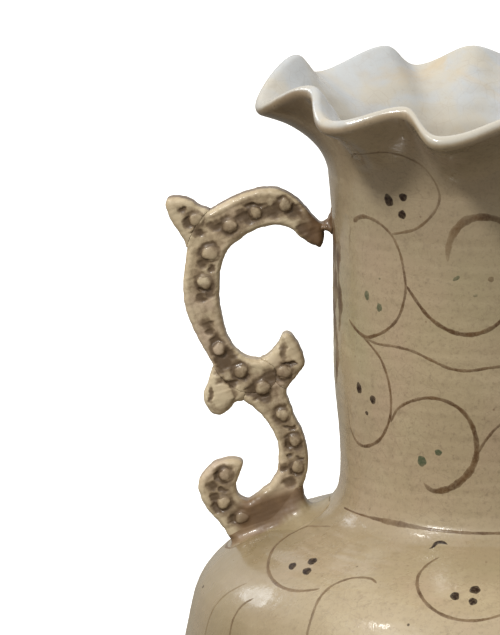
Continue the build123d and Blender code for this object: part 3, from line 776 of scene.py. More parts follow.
SHOULDER_STROKES = [
    ([(205.2, 265.5), (199.0, 262.6), (193.4, 258.6), (193.8, 252.0), (198.5, 242.8), (205.6, 234.8), (210.9, 229.7), (217.9, 225.9), (223.7, 225.9), (227.6, 228.2), (229.8, 230.4)],
     (0.7, 0.9, 1.1, 1.2, 1.2, 1.3, 1.3, 1.2, 0.8), (0.35, 0.5, 0.6, 0.6, 0.6, 0.62, 0.62, 0.6, 0.4)),
    ([(236.0, 196.0), (233.6, 206.2), (232.6, 215.6), (231.6, 226.3), (232.6, 234.8), (235.9, 240.9), (240.3, 242.4), (243.1, 239.8)],
     (0.8, 1.0, 1.1, 1.2, 1.2, 1.2, 1.3, 0.9), (0.35, 0.5, 0.55, 0.6, 0.62, 0.62, 0.62, 0.5)),
    ([(256.8, 261.9), (254.2, 257.5), (252.9, 250.9), (253.4, 244.3), (255.6, 235.7), (259.1, 228.2), (263.4, 223.6), (268.0, 222.2), (272.0, 223.3), (276.0, 226.6), (277.6, 232.0)],
     (0.8, 1.0, 1.2, 1.3, 1.3, 1.2, 1.0, 0.7), (0.5, 0.62, 0.7, 0.72, 0.72, 0.7, 0.62, 0.3)),
    ([(214.0, 216.2), (212.0, 211.1), (211.5, 205.4), (212.0, 197.5), (213.0, 188.0), (218.5, 182.5), (225.0, 181.5)],
     (1.0, 1.1, 1.1, 1.0, 0.9, 0.7), (0.5, 0.55, 0.55, 0.5, 0.45, 0.3)),
    ([(207.9, 221.0), (203.4, 210.4), (201.8, 198.7), (202.6, 186.0), (208.0, 177.0)],
     (0.8, 0.9, 0.9, 0.7), (0.25, 0.32, 0.32, 0.2)),
]
SHOULDER_DOTS = [
    (215.1, 237.7, 6.4, 3.6, 141, 2, 1), (218.5, 244.4, 6.4, 4.3, 140, 2, 1), (221.2, 237.8, 6.2, 4.1, 142, 2, 1),
    (264.2, 235.7, 5.8, 4.0, 97, 2, 1), (269.0, 240.4, 5.9, 4.7, 85, 2, 1), (268.6, 232.7, 4.7, 3.7, 91, 2, 1),
    (255.1, 218.7, 1.2, 1.4, 0, 2, 0.8), (189.8, 207.3, 2.2, 1.6, 20, 2, 0.9), (233.4, 248.6, 0.9, 1.2, 0, 2, 0.5),
]


def turned(strokes, by, flip=False, about=0.0):
    out = []
    for pts, w, ink in strokes:
        q = [((2 * about - p[0]) + by if flip else p[0] + by, *p[1:]) for p in pts]
        out.append((q, w, ink))
    return out


def build_strokes(strokes, hue=0.0):
    return [stroke(widths(p, w, k), hue=hue, seed=0.7 * i + 0.3) for i, (p, w, k) in enumerate(strokes)]


def build_dots(dots, by=0.0, flip=False, about=0.0):
    return [dot((2 * about - d[0] + by) if flip else d[0] + by, d[1], d[2], d[3], -d[4] if flip else d[4], d[5], d[6]) for d in dots]


neck_items = build_strokes(NECK_STROKES) + build_dots(NECK_DOTS)
neck_items += build_strokes(turned(NECK_STROKES, 92.0)) + build_dots(NECK_DOTS, 92.0)
neck_items += build_strokes(turned(NECK_STROKES, 186.0)) + build_dots(NECK_DOTS, 186.0)
brushwork("brushwork_neck", neck_items)
sh_items = build_strokes(SHOULDER_STROKES) + build_dots(SHOULDER_DOTS)
for turn in (88.0, 176.0, 268.0):
    sh_items += build_strokes(turned(SHOULDER_STROKES[:5], turn)) + build_dots(SHOULDER_DOTS[:7], turn)
# a small dark squiggle and the brown line where neck meets shoulder
sh_items.append(stroke([(252.4, 266.0, 0.5, 0.9), (253.4, 267.0, 0.9, 1.0), (254.4, 269.2, 1.5, 1.0), (256.3, 269.8, 1.4, 1.0), (258.6, 268.9, 0.5, 0.9)], hue=2.0))
brushwork("brushwork_shoulder", sh_items)
low_items = []
for k_, turn in enumerate((0.0, 61.0, 119.0, 178.0, 241.0, 300.0)):
    low_items += build_strokes([(
        [(214 + turn, 168.0), (206 + turn, 160.0), (203 + turn, 146.0), (207 + turn, 132.0), (216 + turn, 124.0), (226 + turn, 126.0), (230 + turn, 134.0), (226 + turn, 141.0)],
        (0.8, 1.1, 1.3, 1.4, 1.3, 1.1, 0.8), (0.4, 0.55, 0.62, 0.66, 0.66, 0.6, 0.35)),
        ([(203 + turn, 140.0), (196 + turn, 128.0), (186 + turn, 121.0), (176 + turn, 124.0)], (1.1, 1.0, 0.9, 0.6), (0.55, 0.5, 0.45, 0.2))])
    low_items += build_dots([(213.5 + turn, 146.0, 3.4, 4.4, -20, 2, 1), (218.5 + turn, 150.5, 3.0, 4.0, 10, 2, 1), (218.0 + turn, 141.5, 3.0, 3.6, 0, 2, 1)])
brushwork("brushwork_belly", low_items)
_ring = [(float(a), S_NECK + 0.6 + 0.45 * math.sin(math.radians(a * 2 + 40)) + 0.3 * math.sin(math.radians(a * 5)),
          0.85 + 0.25 * math.sin(math.radians(a * 3 + 20)) + 1.5 * math.exp(-((a - 235) / 9.0) ** 2) + 1.1 * math.exp(-((a - 75) / 12.0) ** 2)
          + 0.9 * math.exp(-((a - 330) / 10.0) ** 2), 0.72 + 0.12 * math.sin(math.radians(a * 4))) for a in np.arange(203, 203 + 331, 4.5)]
brushwork("brushwork_neck_line", [stroke(_ring, relief=0.10)])
# a mottled brown run of stain down the neck from the joint of the handle
_run = []
for k_, (b0, s0_, s1_, w_, ink_) in enumerate([(191.5, 396.0, 344.0, 9.6, 1.0), (198.4, 389.0, 350.0, 5.6, 0.9), (185.5, 394.0, 352.0, 7.0, 0.95), (193.5, 350.0, 326.0, 6.4, 0.85)]):
    pts_ = [(b0 + 1.3 * math.sin(0.19 * v + 2 * k_), v, w_ * (0.75 + 0.3 * math.sin(0.33 * v + k_)), ink_ * (0.8 + 0.25 * math.sin(0.41 * v + 3 * k_))) for v in np.linspace(s0_, s1_, 12)]
    pts_[0] = (*pts_[0][:3], 0.4 * ink_)
    pts_[-1] = (*pts_[-1][:3], 0.12)
    _run.append(stroke(pts_, relief=0.06, hue=0.0, seed=1.1 * k_))
brushwork("brown_run_below_joint", _run)

# =============================================================================
# 6. The scroll handle, sculpted as volumes: raised borders, a stained channel
#    with pits, soft lobes, and pressed-on pellets
# =============================================================================
UPPER = [(-66.3, 349.9), (-67.0, 352.3), (-68.9, 353.6), (-71.6, 356.3), (-74.9, 360.1), (-78.9, 363.8), (-83.5, 366.5), (-88.1, 367.5), (-93.5, 367.2), (-100.2, 365.2), (-105.5, 362.8), (-110.2, 360.2), (-115.1, 357.2), (-119.3, 352.5), (-122.3, 346.5), (-123.7, 341.4), (-124.3, 336.6), (-125.0, 332.0), (-125.4, 326.4), (-125.3, 320.4), (-123.9, 314.0), (-121.5, 307.8), (-118.3, 301.0), (-115.0, 295.5), (-112.1, 290.3), (-107.9, 285.1), (-102.0, 281.2), (-95.3, 279.9), (-89.4, 281.7), (-86.4, 285.5), (-86.8, 290.7), (-90.8, 293.9), (-94.2, 294.3), (-98.2, 294.8), (-101.5, 296.9), (-104.8, 300.3), (-107.5, 305.8), (-109.1, 312.0), (-110.0, 317.5), (-110.2, 323.4), (-109.9, 330.5), (-108.5, 336.6), (-105.8, 342.0), (-101.7, 345.4), (-98.0, 348.0), (-93.7, 350.2), (-88.3, 351.6), (-83.6, 351.6), (-79.6, 349.9), (-76.3, 346.8), (-73.3, 344.9), (-70.4, 343.3), (-67.7, 342.4), (-66.4, 345.6)]
LEAF = [(-92.7, 294.2), (-90.8, 295.4), (-87.4, 298.6), (-85.0, 302.4), (-83.5, 305.0), (-81.7, 305.8), (-79.3, 304.4), (-76.6, 300.3), (-75.0, 296.2), (-74.3, 292.8), (-75.4, 290.0), (-78.8, 285.8), (-81.5, 282.1), (-85.2, 281.2), (-90.2, 283.8), (-93.5, 289.0)]
LOWER = [(-94.4, 288.1), (-89.3, 290.7), (-84.7, 288.1), (-82.2, 283.0), (-82.0, 279.0), (-80.2, 274.1), (-78.0, 268.4), (-75.3, 263.4), (-73.7, 257.9), (-72.9, 252.3), (-72.7, 247.9), (-73.8, 242.9), (-75.5, 237.9), (-76.7, 232.9), (-78.8, 228.2), (-84.0, 223.8), (-90.3, 219.9), (-96.3, 216.4), (-101.4, 215.1), (-105.6, 216.8), (-108.6, 221.1), (-111.8, 225.1), (-115.0, 228.5), (-117.4, 232.3), (-118.7, 236.2), (-119.2, 239.0), (-118.6, 242.3), (-116.4, 245.4), (-113.2, 248.5), (-109.9, 250.1), (-106.1, 250.8), (-102.9, 251.0), (-100.9, 250.1), (-100.3, 248.5), (-101.1, 245.7), (-102.5, 242.3), (-103.3, 238.5), (-102.5, 235.7), (-100.9, 233.8), (-98.2, 233.2), (-95.5, 234.6), (-92.2, 237.4), (-89.0, 240.1), (-86.5, 244.0), (-85.4, 248.5), (-85.2, 253.5), (-85.8, 259.0), (-87.7, 263.4), (-90.9, 268.4), (-95.2, 272.8), (-98.9, 275.6), (-100.8, 278.6), (-98.6, 283.8)]
KNEE = [(-112.9, 290.7), (-114.7, 285.2), (-116.8, 279.0), (-116.5, 275.5), (-114.5, 272.0), (-112.5, 270.4), (-109.2, 270.1), (-106.5, 272.0), (-103.4, 275.5), (-100.4, 276.5), (-97.8, 279.5), (-99.5, 284.7), (-104.5, 289.0), (-109.5, 292.5)]
SPUR = [(-114.7, 357.8), (-118.3, 359.4), (-121.5, 361.8), (-125.5, 363.1), (-129.7, 363.5), (-131.9, 362.4), (-132.7, 359.8), (-131.0, 354.3), (-128.4, 350.2), (-125.3, 345.4), (-123.5, 341.4), (-119.9, 342.3), (-115.6, 348.2), (-112.2, 354.2)]
BEADS = [(-119.8, 354.3, 2.6), (-105.8, 351.8, 2.75), (-113.9, 340.2, 3.1), (-116.2, 327.6, 2.8), (-94.9, 357.4, 2.3), (-82.4, 361.0, 2.6), (-110.1, 299.1, 2.55), (-101.1, 289.5, 2.65), (-91.8, 282.5, 2.85), (-82.7, 289.4, 2.75), (-83.4, 270.9, 2.5), (-78.4, 259.8, 2.3), (-77.2, 248.2, 2.25), (-107.6, 244.5, 2.45), (-108.4, 232.5, 2.55), (-100.4, 226.1, 2.6)]
WAD = [(-68.6, 349.9), (-67.9, 353.4), (-65.8, 355.6), (-63.9, 357.6), (-62.2, 359.5), (-56.9, 359.3), (-57.0, 345.5), (-62.0, 345.9), (-64.2, 347.6), (-66.4, 348.4)]
PITS = [(-125.6, 358.6, 1.67, 1.21), (-112.1, 351.2, 2.68, 2.01), (-99.7, 355.9, 3.01, 2.34), (-95.3, 360.5, 4.02, 0.94), (-88.0, 357.6, 3.35, 2.68), (-78.4, 358.2, 3.01, 3.0), (-74.8, 350.5, 2.68, 2.6), (-69.8, 348.6, 3.6, 3.2), (-117.6, 334.9, 1.88, 1.67), (-113.1, 333.2, 1.67, 1.47), (-117.8, 320.9, 2.14, 2.01), (-114.1, 322.9, 1.88, 1.67), (-117.0, 324.8, 1.47, 1.21), (-115.2, 309.5, 2.54, 1.88), (-114.0, 306.5, 1.67, 1.47), (-111.6, 302.1, 2.01, 2.68), (-106.0, 296.3, 3.21, 2.54), (-108.4, 292.8, 3.35, 2.68), (-110.1, 289.6, 2.34, 2.01), (-96.7, 281.1, 2.34, 2.01), (-88.3, 287.7, 3.35, 3.01), (-90.7, 278.4, 2.54, 2.01), (-80.6, 292.8, 2.81, 0.94), (-83.2, 298.3, 1.47, 3.68), (-123.4, 353.2, 1.67, 2.68), (-118.8, 348.5, 2.68, 1.67), (-98.1, 354.6, 2.01, 2.34), (-100.2, 287.5, 2.41, 1.61), (-94.9, 280.6, 1.88, 2.41), (-93.8, 278.3, 2.14, 1.07), (-113.7, 279.5, 0.86, 3.21), (-105.0, 284.2, 2.14, 1.5), (-80.5, 265.3, 2.68, 0.64), (-80.4, 258.3, 1.61, 2.25), (-80.3, 253.3, 1.18, 1.18), (-83.3, 247.5, 1.71, 1.88), (-80.6, 241.4, 2.57, 2.25), (-79.0, 245.8, 1.07, 1.34), (-75.9, 251.9, 1.6, 0.75), (-113.0, 239.2, 2.14, 1.88), (-110.9, 243.8, 1.18, 2.14), (-112.3, 234.7, 1.5, 2.14), (-111.1, 229.7, 2.14, 2.04), (-109.0, 237.8, 1.61, 1.18), (-104.0, 225.3, 2.41, 1.61)]

X0, X1, Z0, Z1, G = -138.0, -52.0, 202.0, 374.0, 0.25


def closed_curve(points, n=420):
    p = np.array(points, float)
    k = len(p)
    idx = np.arange(n) * k / n
    i = idx.astype(int)
    t = (idx - i)[:, None]
    a, b, c, d = p[(i - 1) % k], p[i], p[(i + 1) % k], p[(i + 2) % k]
    return 0.5 * ((2 * b) + (c - a) * t + (2 * a - 5 * b + 4 * c - d) * t * t + (3 * b - 3 * c + d - a) * t**3)


gx = np.arange(X0, X1 + G, G)
gz = np.arange(Z0, Z1 + G, G)


def outline_field(points, pad=9.0):
    """Signed distance (negative inside) to a closed outline, on the (x, z) grid; far away it is just large."""
    c = closed_curve(points)
    out = np.full((len(gx), len(gz)), 30.0, np.float32)
    lo, hi = c.min(0) - pad, c.max(0) + pad
    ix = np.where((gx >= lo[0]) & (gx <= hi[0]))[0]
    iz = np.where((gz >= lo[1]) & (gz <= hi[1]))[0]
    px, pz = np.meshgrid(gx[ix], gz[iz], indexing="ij")
    q = np.stack([px.ravel(), pz.ravel()], 1).astype(np.float32)
    a = c.astype(np.float32)
    b = np.roll(a, -1, 0)
    ab = b - a
    best = np.full(len(q), 1e9, np.float32)
    inside = np.zeros(len(q), bool)
    for s0 in range(0, len(q), 20000):
        qq = q[s0:s0 + 20000]
        ap = qq[:, None, :] - a[None]
        t = np.clip((ap * ab).sum(-1) / (ab * ab).sum(-1), 0, 1)
        dd = ap - t[..., None] * ab
        best[s0:s0 + 20000] = np.sqrt((dd * dd).sum(-1).min(1))
        cross = ((a[:, 1] > qq[:, 1:2]) != (b[:, 1] > qq[:, 1:2]))
        with np.errstate(divide="ignore", invalid="ignore"):
            xi = a[:, 0] + (qq[:, 1:2] - a[:, 1]) * ab[:, 0] / np.where(ab[:, 1] == 0, 1e-9, ab[:, 1])
        inside[s0:s0 + 20000] = (cross & (qq[:, 0:1] < xi)).sum(1) % 2 == 1
    out[np.ix_(ix, iz)] = np.where(inside, -best, best).reshape(len(ix), len(iz))
    return out


def smin(a, b, k):
    h = np.clip(0.5 + 0.5 * (b - a) / k, 0, 1)
    return b + (a - b) * h - k * h * (1 - h)


FU, FL, FLEAF, FKNEE, FSPUR = (outline_field(o) for o in (UPPER, LOWER, LEAF, KNEE, SPUR))
GX, GZ = np.meshgrid(gx, gz, indexing="ij")
# a wavering hand-cut edge
_edge = 0.16 * np.sin(GX * 0.9 + GZ * 0.55) + 0.12 * np.sin(GZ * 1.35 - GX * 0.4 + 1.0) + 0.07 * np.sin(GX * 2.3 + GZ * 1.7)
FCORE = smin(FU, FL, 1.6)
FALL = smin(smin(smin(FCORE, FLEAF, 1.2), FKNEE, 1.0), FSPUR, 1.2) + _edge * 0.6
DEEP = -FALL                      # mm inside the silhouette
CORE = -(FCORE + _edge * 0.4)     # mm inside the two scrolls

def waver(x, z, k, seed):
    return (np.sin(k * (0.93 * x + 0.41 * z) + seed) + np.sin(k * (-0.52 * x + 1.07 * z) + 1.7 * seed + 1)
            + 0.6 * np.sin(k * 1.9 * (0.31 * x - 0.88 * z) + 2.3 * seed)) / 2.2


WX = GX + 0.55 * waver(GX, GZ, 1.15, 0.3) + 0.30 * waver(GX, GZ, 2.7, 1.9)
WZ = GZ + 0.55 * waver(GX, GZ, 1.20, 4.1) + 0.30 * waver(GX, GZ, 2.5, 7.7)
bead_d = np.full(GX.shape, 30.0)
crescent = np.zeros(GX.shape)
for k_, (bx, bz, br) in enumerate(BEADS):
    d_ = np.hypot(GX - bx, GZ - bz) - br
    bead_d = np.minimum(bead_d, d_)
    dw = np.hypot(WX - bx, WZ - bz) - br
    turn_ = math.radians(205 + 55 * math.sin(2.3 * k_ + 0.4))
    lean = smooth01(0.55 + 0.55 * np.cos(np.arctan2(GZ - bz, GX - bx) - turn_))
    crescent = np.maximum(crescent, np.exp(-((dw - 0.75) / (0.55 + 0.55 * lean)) ** 2) * (0.42 + 0.58 * lean))
pit = np.zeros(GX.shape)
for px_, pz_, rx_, rz_ in PITS:
    u_ = np.hypot((WX - px_) / rx_, (WZ - pz_) / rz_)
    pit = np.maximum(pit, smooth01((1.6 - u_) / 1.15))
channel = smooth01((CORE - 1.3) / 2.8)
# the arm runs out plain towards the neck, and the foot of the lower scroll is smooth and glossy
plain = smooth01((GX + 79.0) / 9.0) * (GZ > 335) + smooth01((240.5 - GZ + 0.2 * (GX + 90)) / 7.0) * smooth01((GX + 105.0) / 6.0) * (GZ < 255)
plain = np.clip(plain, 0, 1)
skirt = smooth01((1.3 - bead_d) / 1.7)
channel = channel * (1 - 0.7 * plain) * (1 - 0.55 * skirt)
pit = pit * (1 - 0.5 * plain) * (1 - 0.9 * smooth01((0.5 - bead_d) / 0.8))
crescent = crescent * (1 - 0.65 * plain)
leafy = smooth01((-FLEAF - 1.6) / 2.2) * (1 - smooth01((CORE + 0.5) / 2.0))
knee_u = np.hypot((WX + 108.9) / 3.9, (WZ - 278.9) / 4.9)
knee_dome = smooth01((1.35 - knee_u) / 1.1)
knee_groove = np.exp(-((knee_u - 1.35) / 0.25) ** 2) * (0.35 + 0.65 * smooth01((WX + WZ - 171.5) / 4.0)) * smooth01((-FKNEE) / 1.2)
leaf_groove = np.exp(-((WZ - 293.4 + 0.10 * (WX + 80) ** 2) / 0.9) ** 2) * smooth01((4.8 - np.abs(GX + 80.6)) / 2.5)
spur_dish = np.exp(-(((WX + 126.0) / 2.6) ** 2 + ((WZ - 357.9) / 2.2) ** 2))
relief = 0.5 * waver(GX, GZ, 0.85, 2.2) + 0.35 * waver(GX, GZ, 2.1, 5.2)
# carve: mm taken off each face
CARVE = (0.50 * channel + 0.62 * pit + 0.42 * crescent * smooth01(DEEP / 1.5) - 0.22 * skirt + 0.45 * knee_groove + 0.50 * leaf_groove
         + 0.35 * spur_dish - 0.45 * knee_dome - 0.12 * leafy + 0.16 * relief)
THICK = 5.35 - 0.35 * smooth01((GX + 76.0) / 8.0) * (GZ > 330) - 0.25 * smooth01((-FSPUR) / 3.0) - 0.2 * smooth01((-FLEAF) / 3.0) * (1 - smooth01(CORE / 2.0))
STAIN = np.clip(0.24 * smooth01((CORE - 0.5) / 2.2) * (1 - 0.5 * plain) + 0.34 * np.exp(-(bead_d / 3.4) ** 2) * smooth01(DEEP / 2.0) + 0.80 * pit + 0.72 * crescent * smooth01((DEEP - 0.3) / 1.6) + 0.7 * knee_groove + 0.75 * leaf_groove + 0.5 * spur_dish
                + 0.10 * relief + 0.55 * smooth01((GX + 80) / 12) * (GZ > 335), 0, 1.2)
RAISED = np.clip(0.55 * np.exp(-((DEEP - 1.7) / 1.1) ** 2) * (1 - 0.9 * plain) + 0.25 * knee_dome + 0.3 * leafy + 0.4 * smooth01(-FSPUR / 3) * (1 - smooth01(-FU / 1.5)) + 0.35 * skirt * (1 - plain) - 0.15 * relief, 0, 1) * 0.7
WASH = np.clip(plain * 0.95, 0, 0.95)


def sample2(field, x, z):
    """Bilinear look-up of a grid field."""
    u = np.clip((x - X0) / G, 0, len(gx) - 1.001)
    v = np.clip((z - Z0) / G, 0, len(gz) - 1.001)
    i, j = u.astype(int), v.astype(int)
    a, b = u - i, v - j
    return (field[i, j] * (1 - a) * (1 - b) + field[i + 1, j] * a * (1 - b) + field[i, j + 1] * (1 - a) * b + field[i + 1, j + 1] * a * b)


# distance to the vessel's wall in (r, z), for the luting at the neck and the shoulder
VR0, VR1, VZ0, VZ1, VG = 40.0, 135.0, 190.0, 380.0, 0.5
vr, vz = np.arange(VR0, VR1 + VG, VG), np.arange(VZ0, VZ1 + VG, VG)
_pl = PROFILE(np.linspace(PROFILE.at_height(186, 162, 274), S_RIM, 500))
_q = np.stack(np.meshgrid(vr, vz, indexing="ij"), -1).reshape(-1, 2)
_best = np.full(len(_q), 1e9)
_sign = np.ones(len(_q))
_a, _b = _pl[:-1], _pl[1:]
_ab = _b - _a
for s0 in range(0, len(_q), 15000):
    qq = _q[s0:s0 + 15000]
    ap = qq[:, None] - _a[None]
    t = np.clip((ap * _ab).sum(-1) / (_ab * _ab).sum(-1), 0, 1)
    dd = ap - t[..., None] * _ab
    d2 = (dd * dd).sum(-1)
    k = d2.argmin(1)
    r = np.arange(len(qq))
    _best[s0:s0 + 15000] = np.sqrt(d2[r, k])
    cr = _ab[k, 0] * dd[r, k, 1] - _ab[k, 1] * dd[r, k, 0]
    _sign[s0:s0 + 15000] = np.where(cr > 0, -1, 1)
VFIELD = (_best * _sign).reshape(len(vr), len(vz))


def vessel_distance(x, y, z):
    r = np.hypot(x, y)
    u = np.clip((r - VR0) / VG, 0, len(vr) - 1.001)
    v = np.clip((z - VZ0) / VG, 0, len(vz) - 1.001)
    i, j = u.astype(int), v.astype(int)
    a, b = u - i, v - j
    f = VFIELD
    return (f[i, j] * (1 - a) * (1 - b) + f[i + 1, j] * a * (1 - b) + f[i, j + 1] * (1 - a) * b + f[i + 1, j + 1] * a * b)


def rounded_plate(d, y, half, r=3.2):
    """A plate of an outline with rounded edges: distance, negative inside."""
    a, b = d + r, np.abs(y) - half + r
    return np.minimum(np.maximum(a, b), 0) + np.hypot(np.maximum(a, 0), np.maximum(b, 0)) - r


def handle_field(x, y, z):
    d = sample2(FALL, x, z)
    base = rounded_plate(d, y, sample2(THICK, x, z))
    face = smooth01((np.abs(y) - 1.2) / 2.2)
    return base + sample2(CARVE, x, z) * face


def surface_nets(field, lo, hi, h):
    """A closed quad mesh of field = 0 inside a box (numbers in mm)."""
    lo, hi = np.array(lo, float), np.array(hi, float)
    n = np.ceil((hi - lo) / h).astype(int) + 1
    ax = [lo[i] + h * np.arange(n[i]) for i in range(3)]
    x, y, z = np.meshgrid(*ax, indexing="ij")
    f = field(x, y, z).astype(np.float64)
    f[0], f[-1] = 5, 5
    f[:, 0], f[:, -1] = 5, 5
    f[:, :, 0], f[:, :, -1] = 5, 5
    f = np.where(np.abs(f) < 1e-6, 1e-6, f)
    s = f < 0
    corner = {(a, b, c): (slice(a, n[0] - 1 + a), slice(b, n[1] - 1 + b), slice(c, n[2] - 1 + c)) for a in (0, 1) for b in (0, 1) for c in (0, 1)}
    count = sum(s[corner[k]].astype(np.int8) for k in corner)
    active = (count > 0) & (count < 8)
    cell = np.argwhere(active)
    index = -np.ones(active.shape, np.int64)
    index[active] = np.arange(len(cell))
    acc, hits = np.zeros((len(cell), 3)), np.zeros(len(cell))
    for axis in range(3):
        for b in (0, 1):
            for c in (0, 1):
                o = [0, 0, 0]
                o[(axis + 1) % 3], o[(axis + 2) % 3] = b, c
                p = o.copy()
                p[axis] = 1
                fa = f[cell[:, 0] + o[0], cell[:, 1] + o[1], cell[:, 2] + o[2]]
                fb = f[cell[:, 0] + p[0], cell[:, 1] + p[1], cell[:, 2] + p[2]]
                m = (fa < 0) != (fb < 0)
                t = fa[m] / (fa[m] - fb[m])
                pos = np.tile(np.array(o, float), (m.sum(), 1))
                pos[:, axis] += t
                acc[m] += pos
                hits[m] += 1
    verts = lo + (cell + acc / hits[:, None]) * h
    quads = []
    for axis in range(3):
        u, v = (axis + 1) % 3, (axis + 2) % 3
        a = [slice(None)] * 3
        b = [slice(None)] * 3
        a[axis], b[axis] = slice(0, n[axis] - 1), slice(1, n[axis])
        for d in (u, v):
            a[d] = b[d] = slice(1, n[d] - 1)
        sa, sb = s[tuple(a)], s[tuple(b)]
        cross = np.argwhere(sa != sb)
        if not len(cross):
            continue
        flip = sa[tuple(cross.T)]
        g = cross.copy()
        g[:, u] += 1
        g[:, v] += 1
        def at(du, dv):
            k = g.copy()
            k[:, u] -= du
            k[:, v] -= dv
            return index[k[:, 0], k[:, 1], k[:, 2]]
        q = np.stack([at(1, 1), at(0, 1), at(0, 0), at(1, 0)], -1)
        quads.append(np.where(flip[:, None], q, q[:, ::-1]))
    quads = np.concatenate(quads)
    for _ in range(2):  # pull the points onto the surface
        e = 0.05
        x, y, z = verts.T
        fv = field(x, y, z)
        g = np.stack([(field(x + e, y, z) - field(x - e, y, z)), (field(x, y + e, z) - field(x, y - e, z)), (field(x, y, z + e) - field(x, y, z - e))], -1) / (2 * e)
        gg = np.maximum((g * g).sum(-1), 0.25)
        step = -(fv / gg)[:, None] * g
        verts = verts + np.clip(step, -0.35 * h, 0.35 * h)
    return verts, quads


def drop_crumbs(verts, quads):
    """Keeps the largest connected part."""
    label = np.arange(len(verts))
    while True:
        new = label.copy()
        m = label[quads].min(1)
        for c in range(4):
            np.minimum.at(new, quads[:, c], m)
        new = new[new]
        if (new == label).all():
            break
        label = new
    ids, counts = np.unique(label, return_counts=True)
    keep = label == ids[counts.argmax()]
    remap = np.cumsum(keep) - 1
    return verts[keep], remap[quads[keep[quads[:, 0]]]]


def handle_piece(name, region, lo, hi, h, node, smear=0.0, field=None):
    base = field or handle_field
    v, q = surface_nets(lambda x, y, z: np.maximum(base(x, y, z), region(x, y, z)), lo, hi, h)
    v, q = drop_crumbs(v, q)
    x, y, z = v.T
    face = smooth01((np.abs(y) - 2.4) / 1.8)
    side = 1 - smooth01((np.abs(y) - 1.0) / 3.4)
    stain = sample2(STAIN, x, z) * np.maximum(face, 0.9 * (x > -80) * (z > 335))
    top = smooth01((z - 346) / 12) * side
    at = {"stain": np.clip(stain + 0.85 * top, 0, 1.2), "raised": sample2(RAISED, x, z) * face,
          "wash": np.clip(np.maximum(sample2(WASH, x, z), 0.5 * side), 0, 0.95)}
    if smear:
        away = handle_field(x, y, z) / smear
        at["skin"] = smooth01((away - 0.25 + 0.16 * np.sin(0.55 * x) * np.sin(0.7 * y + 0.4 * z)) / 0.6)
        at["raised"] = 0 * x
        at["stain"] = 0.25 * (1 - smooth01(away)) + 0 * x
        at["wash"] = 0.9 * (1 - smooth01((away - 0.5) / 1.2))
    ob = make_mesh(name, v, q, attrs=at, sharp=55, material=HANDLE)
    return piece(ob, "glaze_handle", node)


def others_min(*fields):
    m = fields[0]
    for f in fields[1:]:
        m = np.minimum(m, f)
    return m


GAP = 0.02
HV = 0.42
R_UP = np.maximum(FU, -30)
R_LO = np.maximum(-FU, FL - np.minimum(np.minimum(FLEAF, FKNEE), FSPUR) * (np.minimum(np.minimum(FLEAF, FKNEE), FSPUR) > 0))


def region_of(grid, grow=0.0):
    return lambda x, y, z: sample2(grid, x, z) - grow


# the upper scroll owns its outline; outside it the nearest member owns the clay
near = np.stack([FL, FLEAF, FKNEE, FSPUR])
owner = near.argmin(0)


def member_region(k):
    rest = np.delete(near, k, 0).min(0)
    return np.maximum(-FU, 0.5 * (near[k] - rest))


R_SPUR = member_region(3)
R_LEAF = member_region(1)
R_KNEE = member_region(2)
R_LOWER = member_region(0)
outside_neck = lambda x, y, z: -vessel_distance(x, y, z)
handle_piece("handle_upper_scroll_relief", lambda x, y, z: np.maximum(sample2(FU, x, z), outside_neck(x, y, z)), (-128, -7.4, 277), (-60, 7.4, 371), HV, "handle_upper_scroll")
handle_piece("handle_lower_scroll_relief", lambda x, y, z: np.maximum(sample2(R_LOWER, x, z), outside_neck(x, y, z)), (-123, -7.4, 211), (-69, 7.4, 295), HV, "handle_lower_scroll")
handle_piece("handle_leaf_relief", region_of(R_LEAF), (-96, -7.4, 277), (-71, 7.4, 309), HV, "handle_leaf")
handle_piece("handle_knee_relief", region_of(R_KNEE), (-121, -7.4, 266), (-94, 7.4, 296), HV, "handle_knee_lobe")
handle_piece("handle_spur_relief", region_of(R_SPUR), (-137, -7.4, 337), (-109, 7.4, 368), HV, "handle_thumb_spur")


def luting(k0, k1, sink):
    """The clay smeared into the corner between the handle and the vessel, fuller on the neck's side."""
    def f(x, y, z):
        a, b = handle_field(x, y, z), vessel_distance(x, y, z)
        k = k0 + (k1 - k0) * smooth01((x + 90) / 16)
        return np.maximum(smin(a, b, k) + sink, -(np.minimum(a, b) + 0.6))
    return f


def ball(cx, cy, cz, rx, ry, rz):
    def f(x, y, z):
        u = np.sqrt(((x - cx) / rx) ** 2 + ((y - cy) / ry) ** 2 + ((z - cz) / rz) ** 2)
        return (u - 1) * min(rx, ry, rz)
    return f


handle_piece("handle_foot_luting", ball(-86, 0, 218, 36, 17.5, 23), (-124, -18.5, 193), (-48, 18.5, 243), 0.5, "handle_foot_pad", smear=5.0, field=luting(6.5, 18.0, 0.12))
FWAD = outline_field(WAD)


def wad_field(x, y, z):
    """The wad that bridges the arm's end and the neck, drawn out thin and lumpy."""
    lump = rounded_plate(sample2(FWAD, x, z) + 1.3, y, 4.0 + 0.5 * np.sin(0.9 * z), 2.4) + 0.35 * np.sin(1.1 * x + 0.9 * z) * np.sin(1.2 * y + 0.4)
    a = smin(smin(handle_field(x, y, z), lump, 1.6), vessel_distance(x, y, z), 2.2) + 0.06 * np.sin(1.3 * y + z) + 0.05
    return np.maximum(a, -(np.minimum(handle_field(x, y, z), vessel_distance(x, y, z)) + 0.7))


handle_piece("handle_neck_luting", ball(-65.4, 0, 353.4, 6.2, 7.0, 6.2), (-74, -9, 345), (-57, 9, 362), 0.34, "handle_neck_wad", field=wad_field)


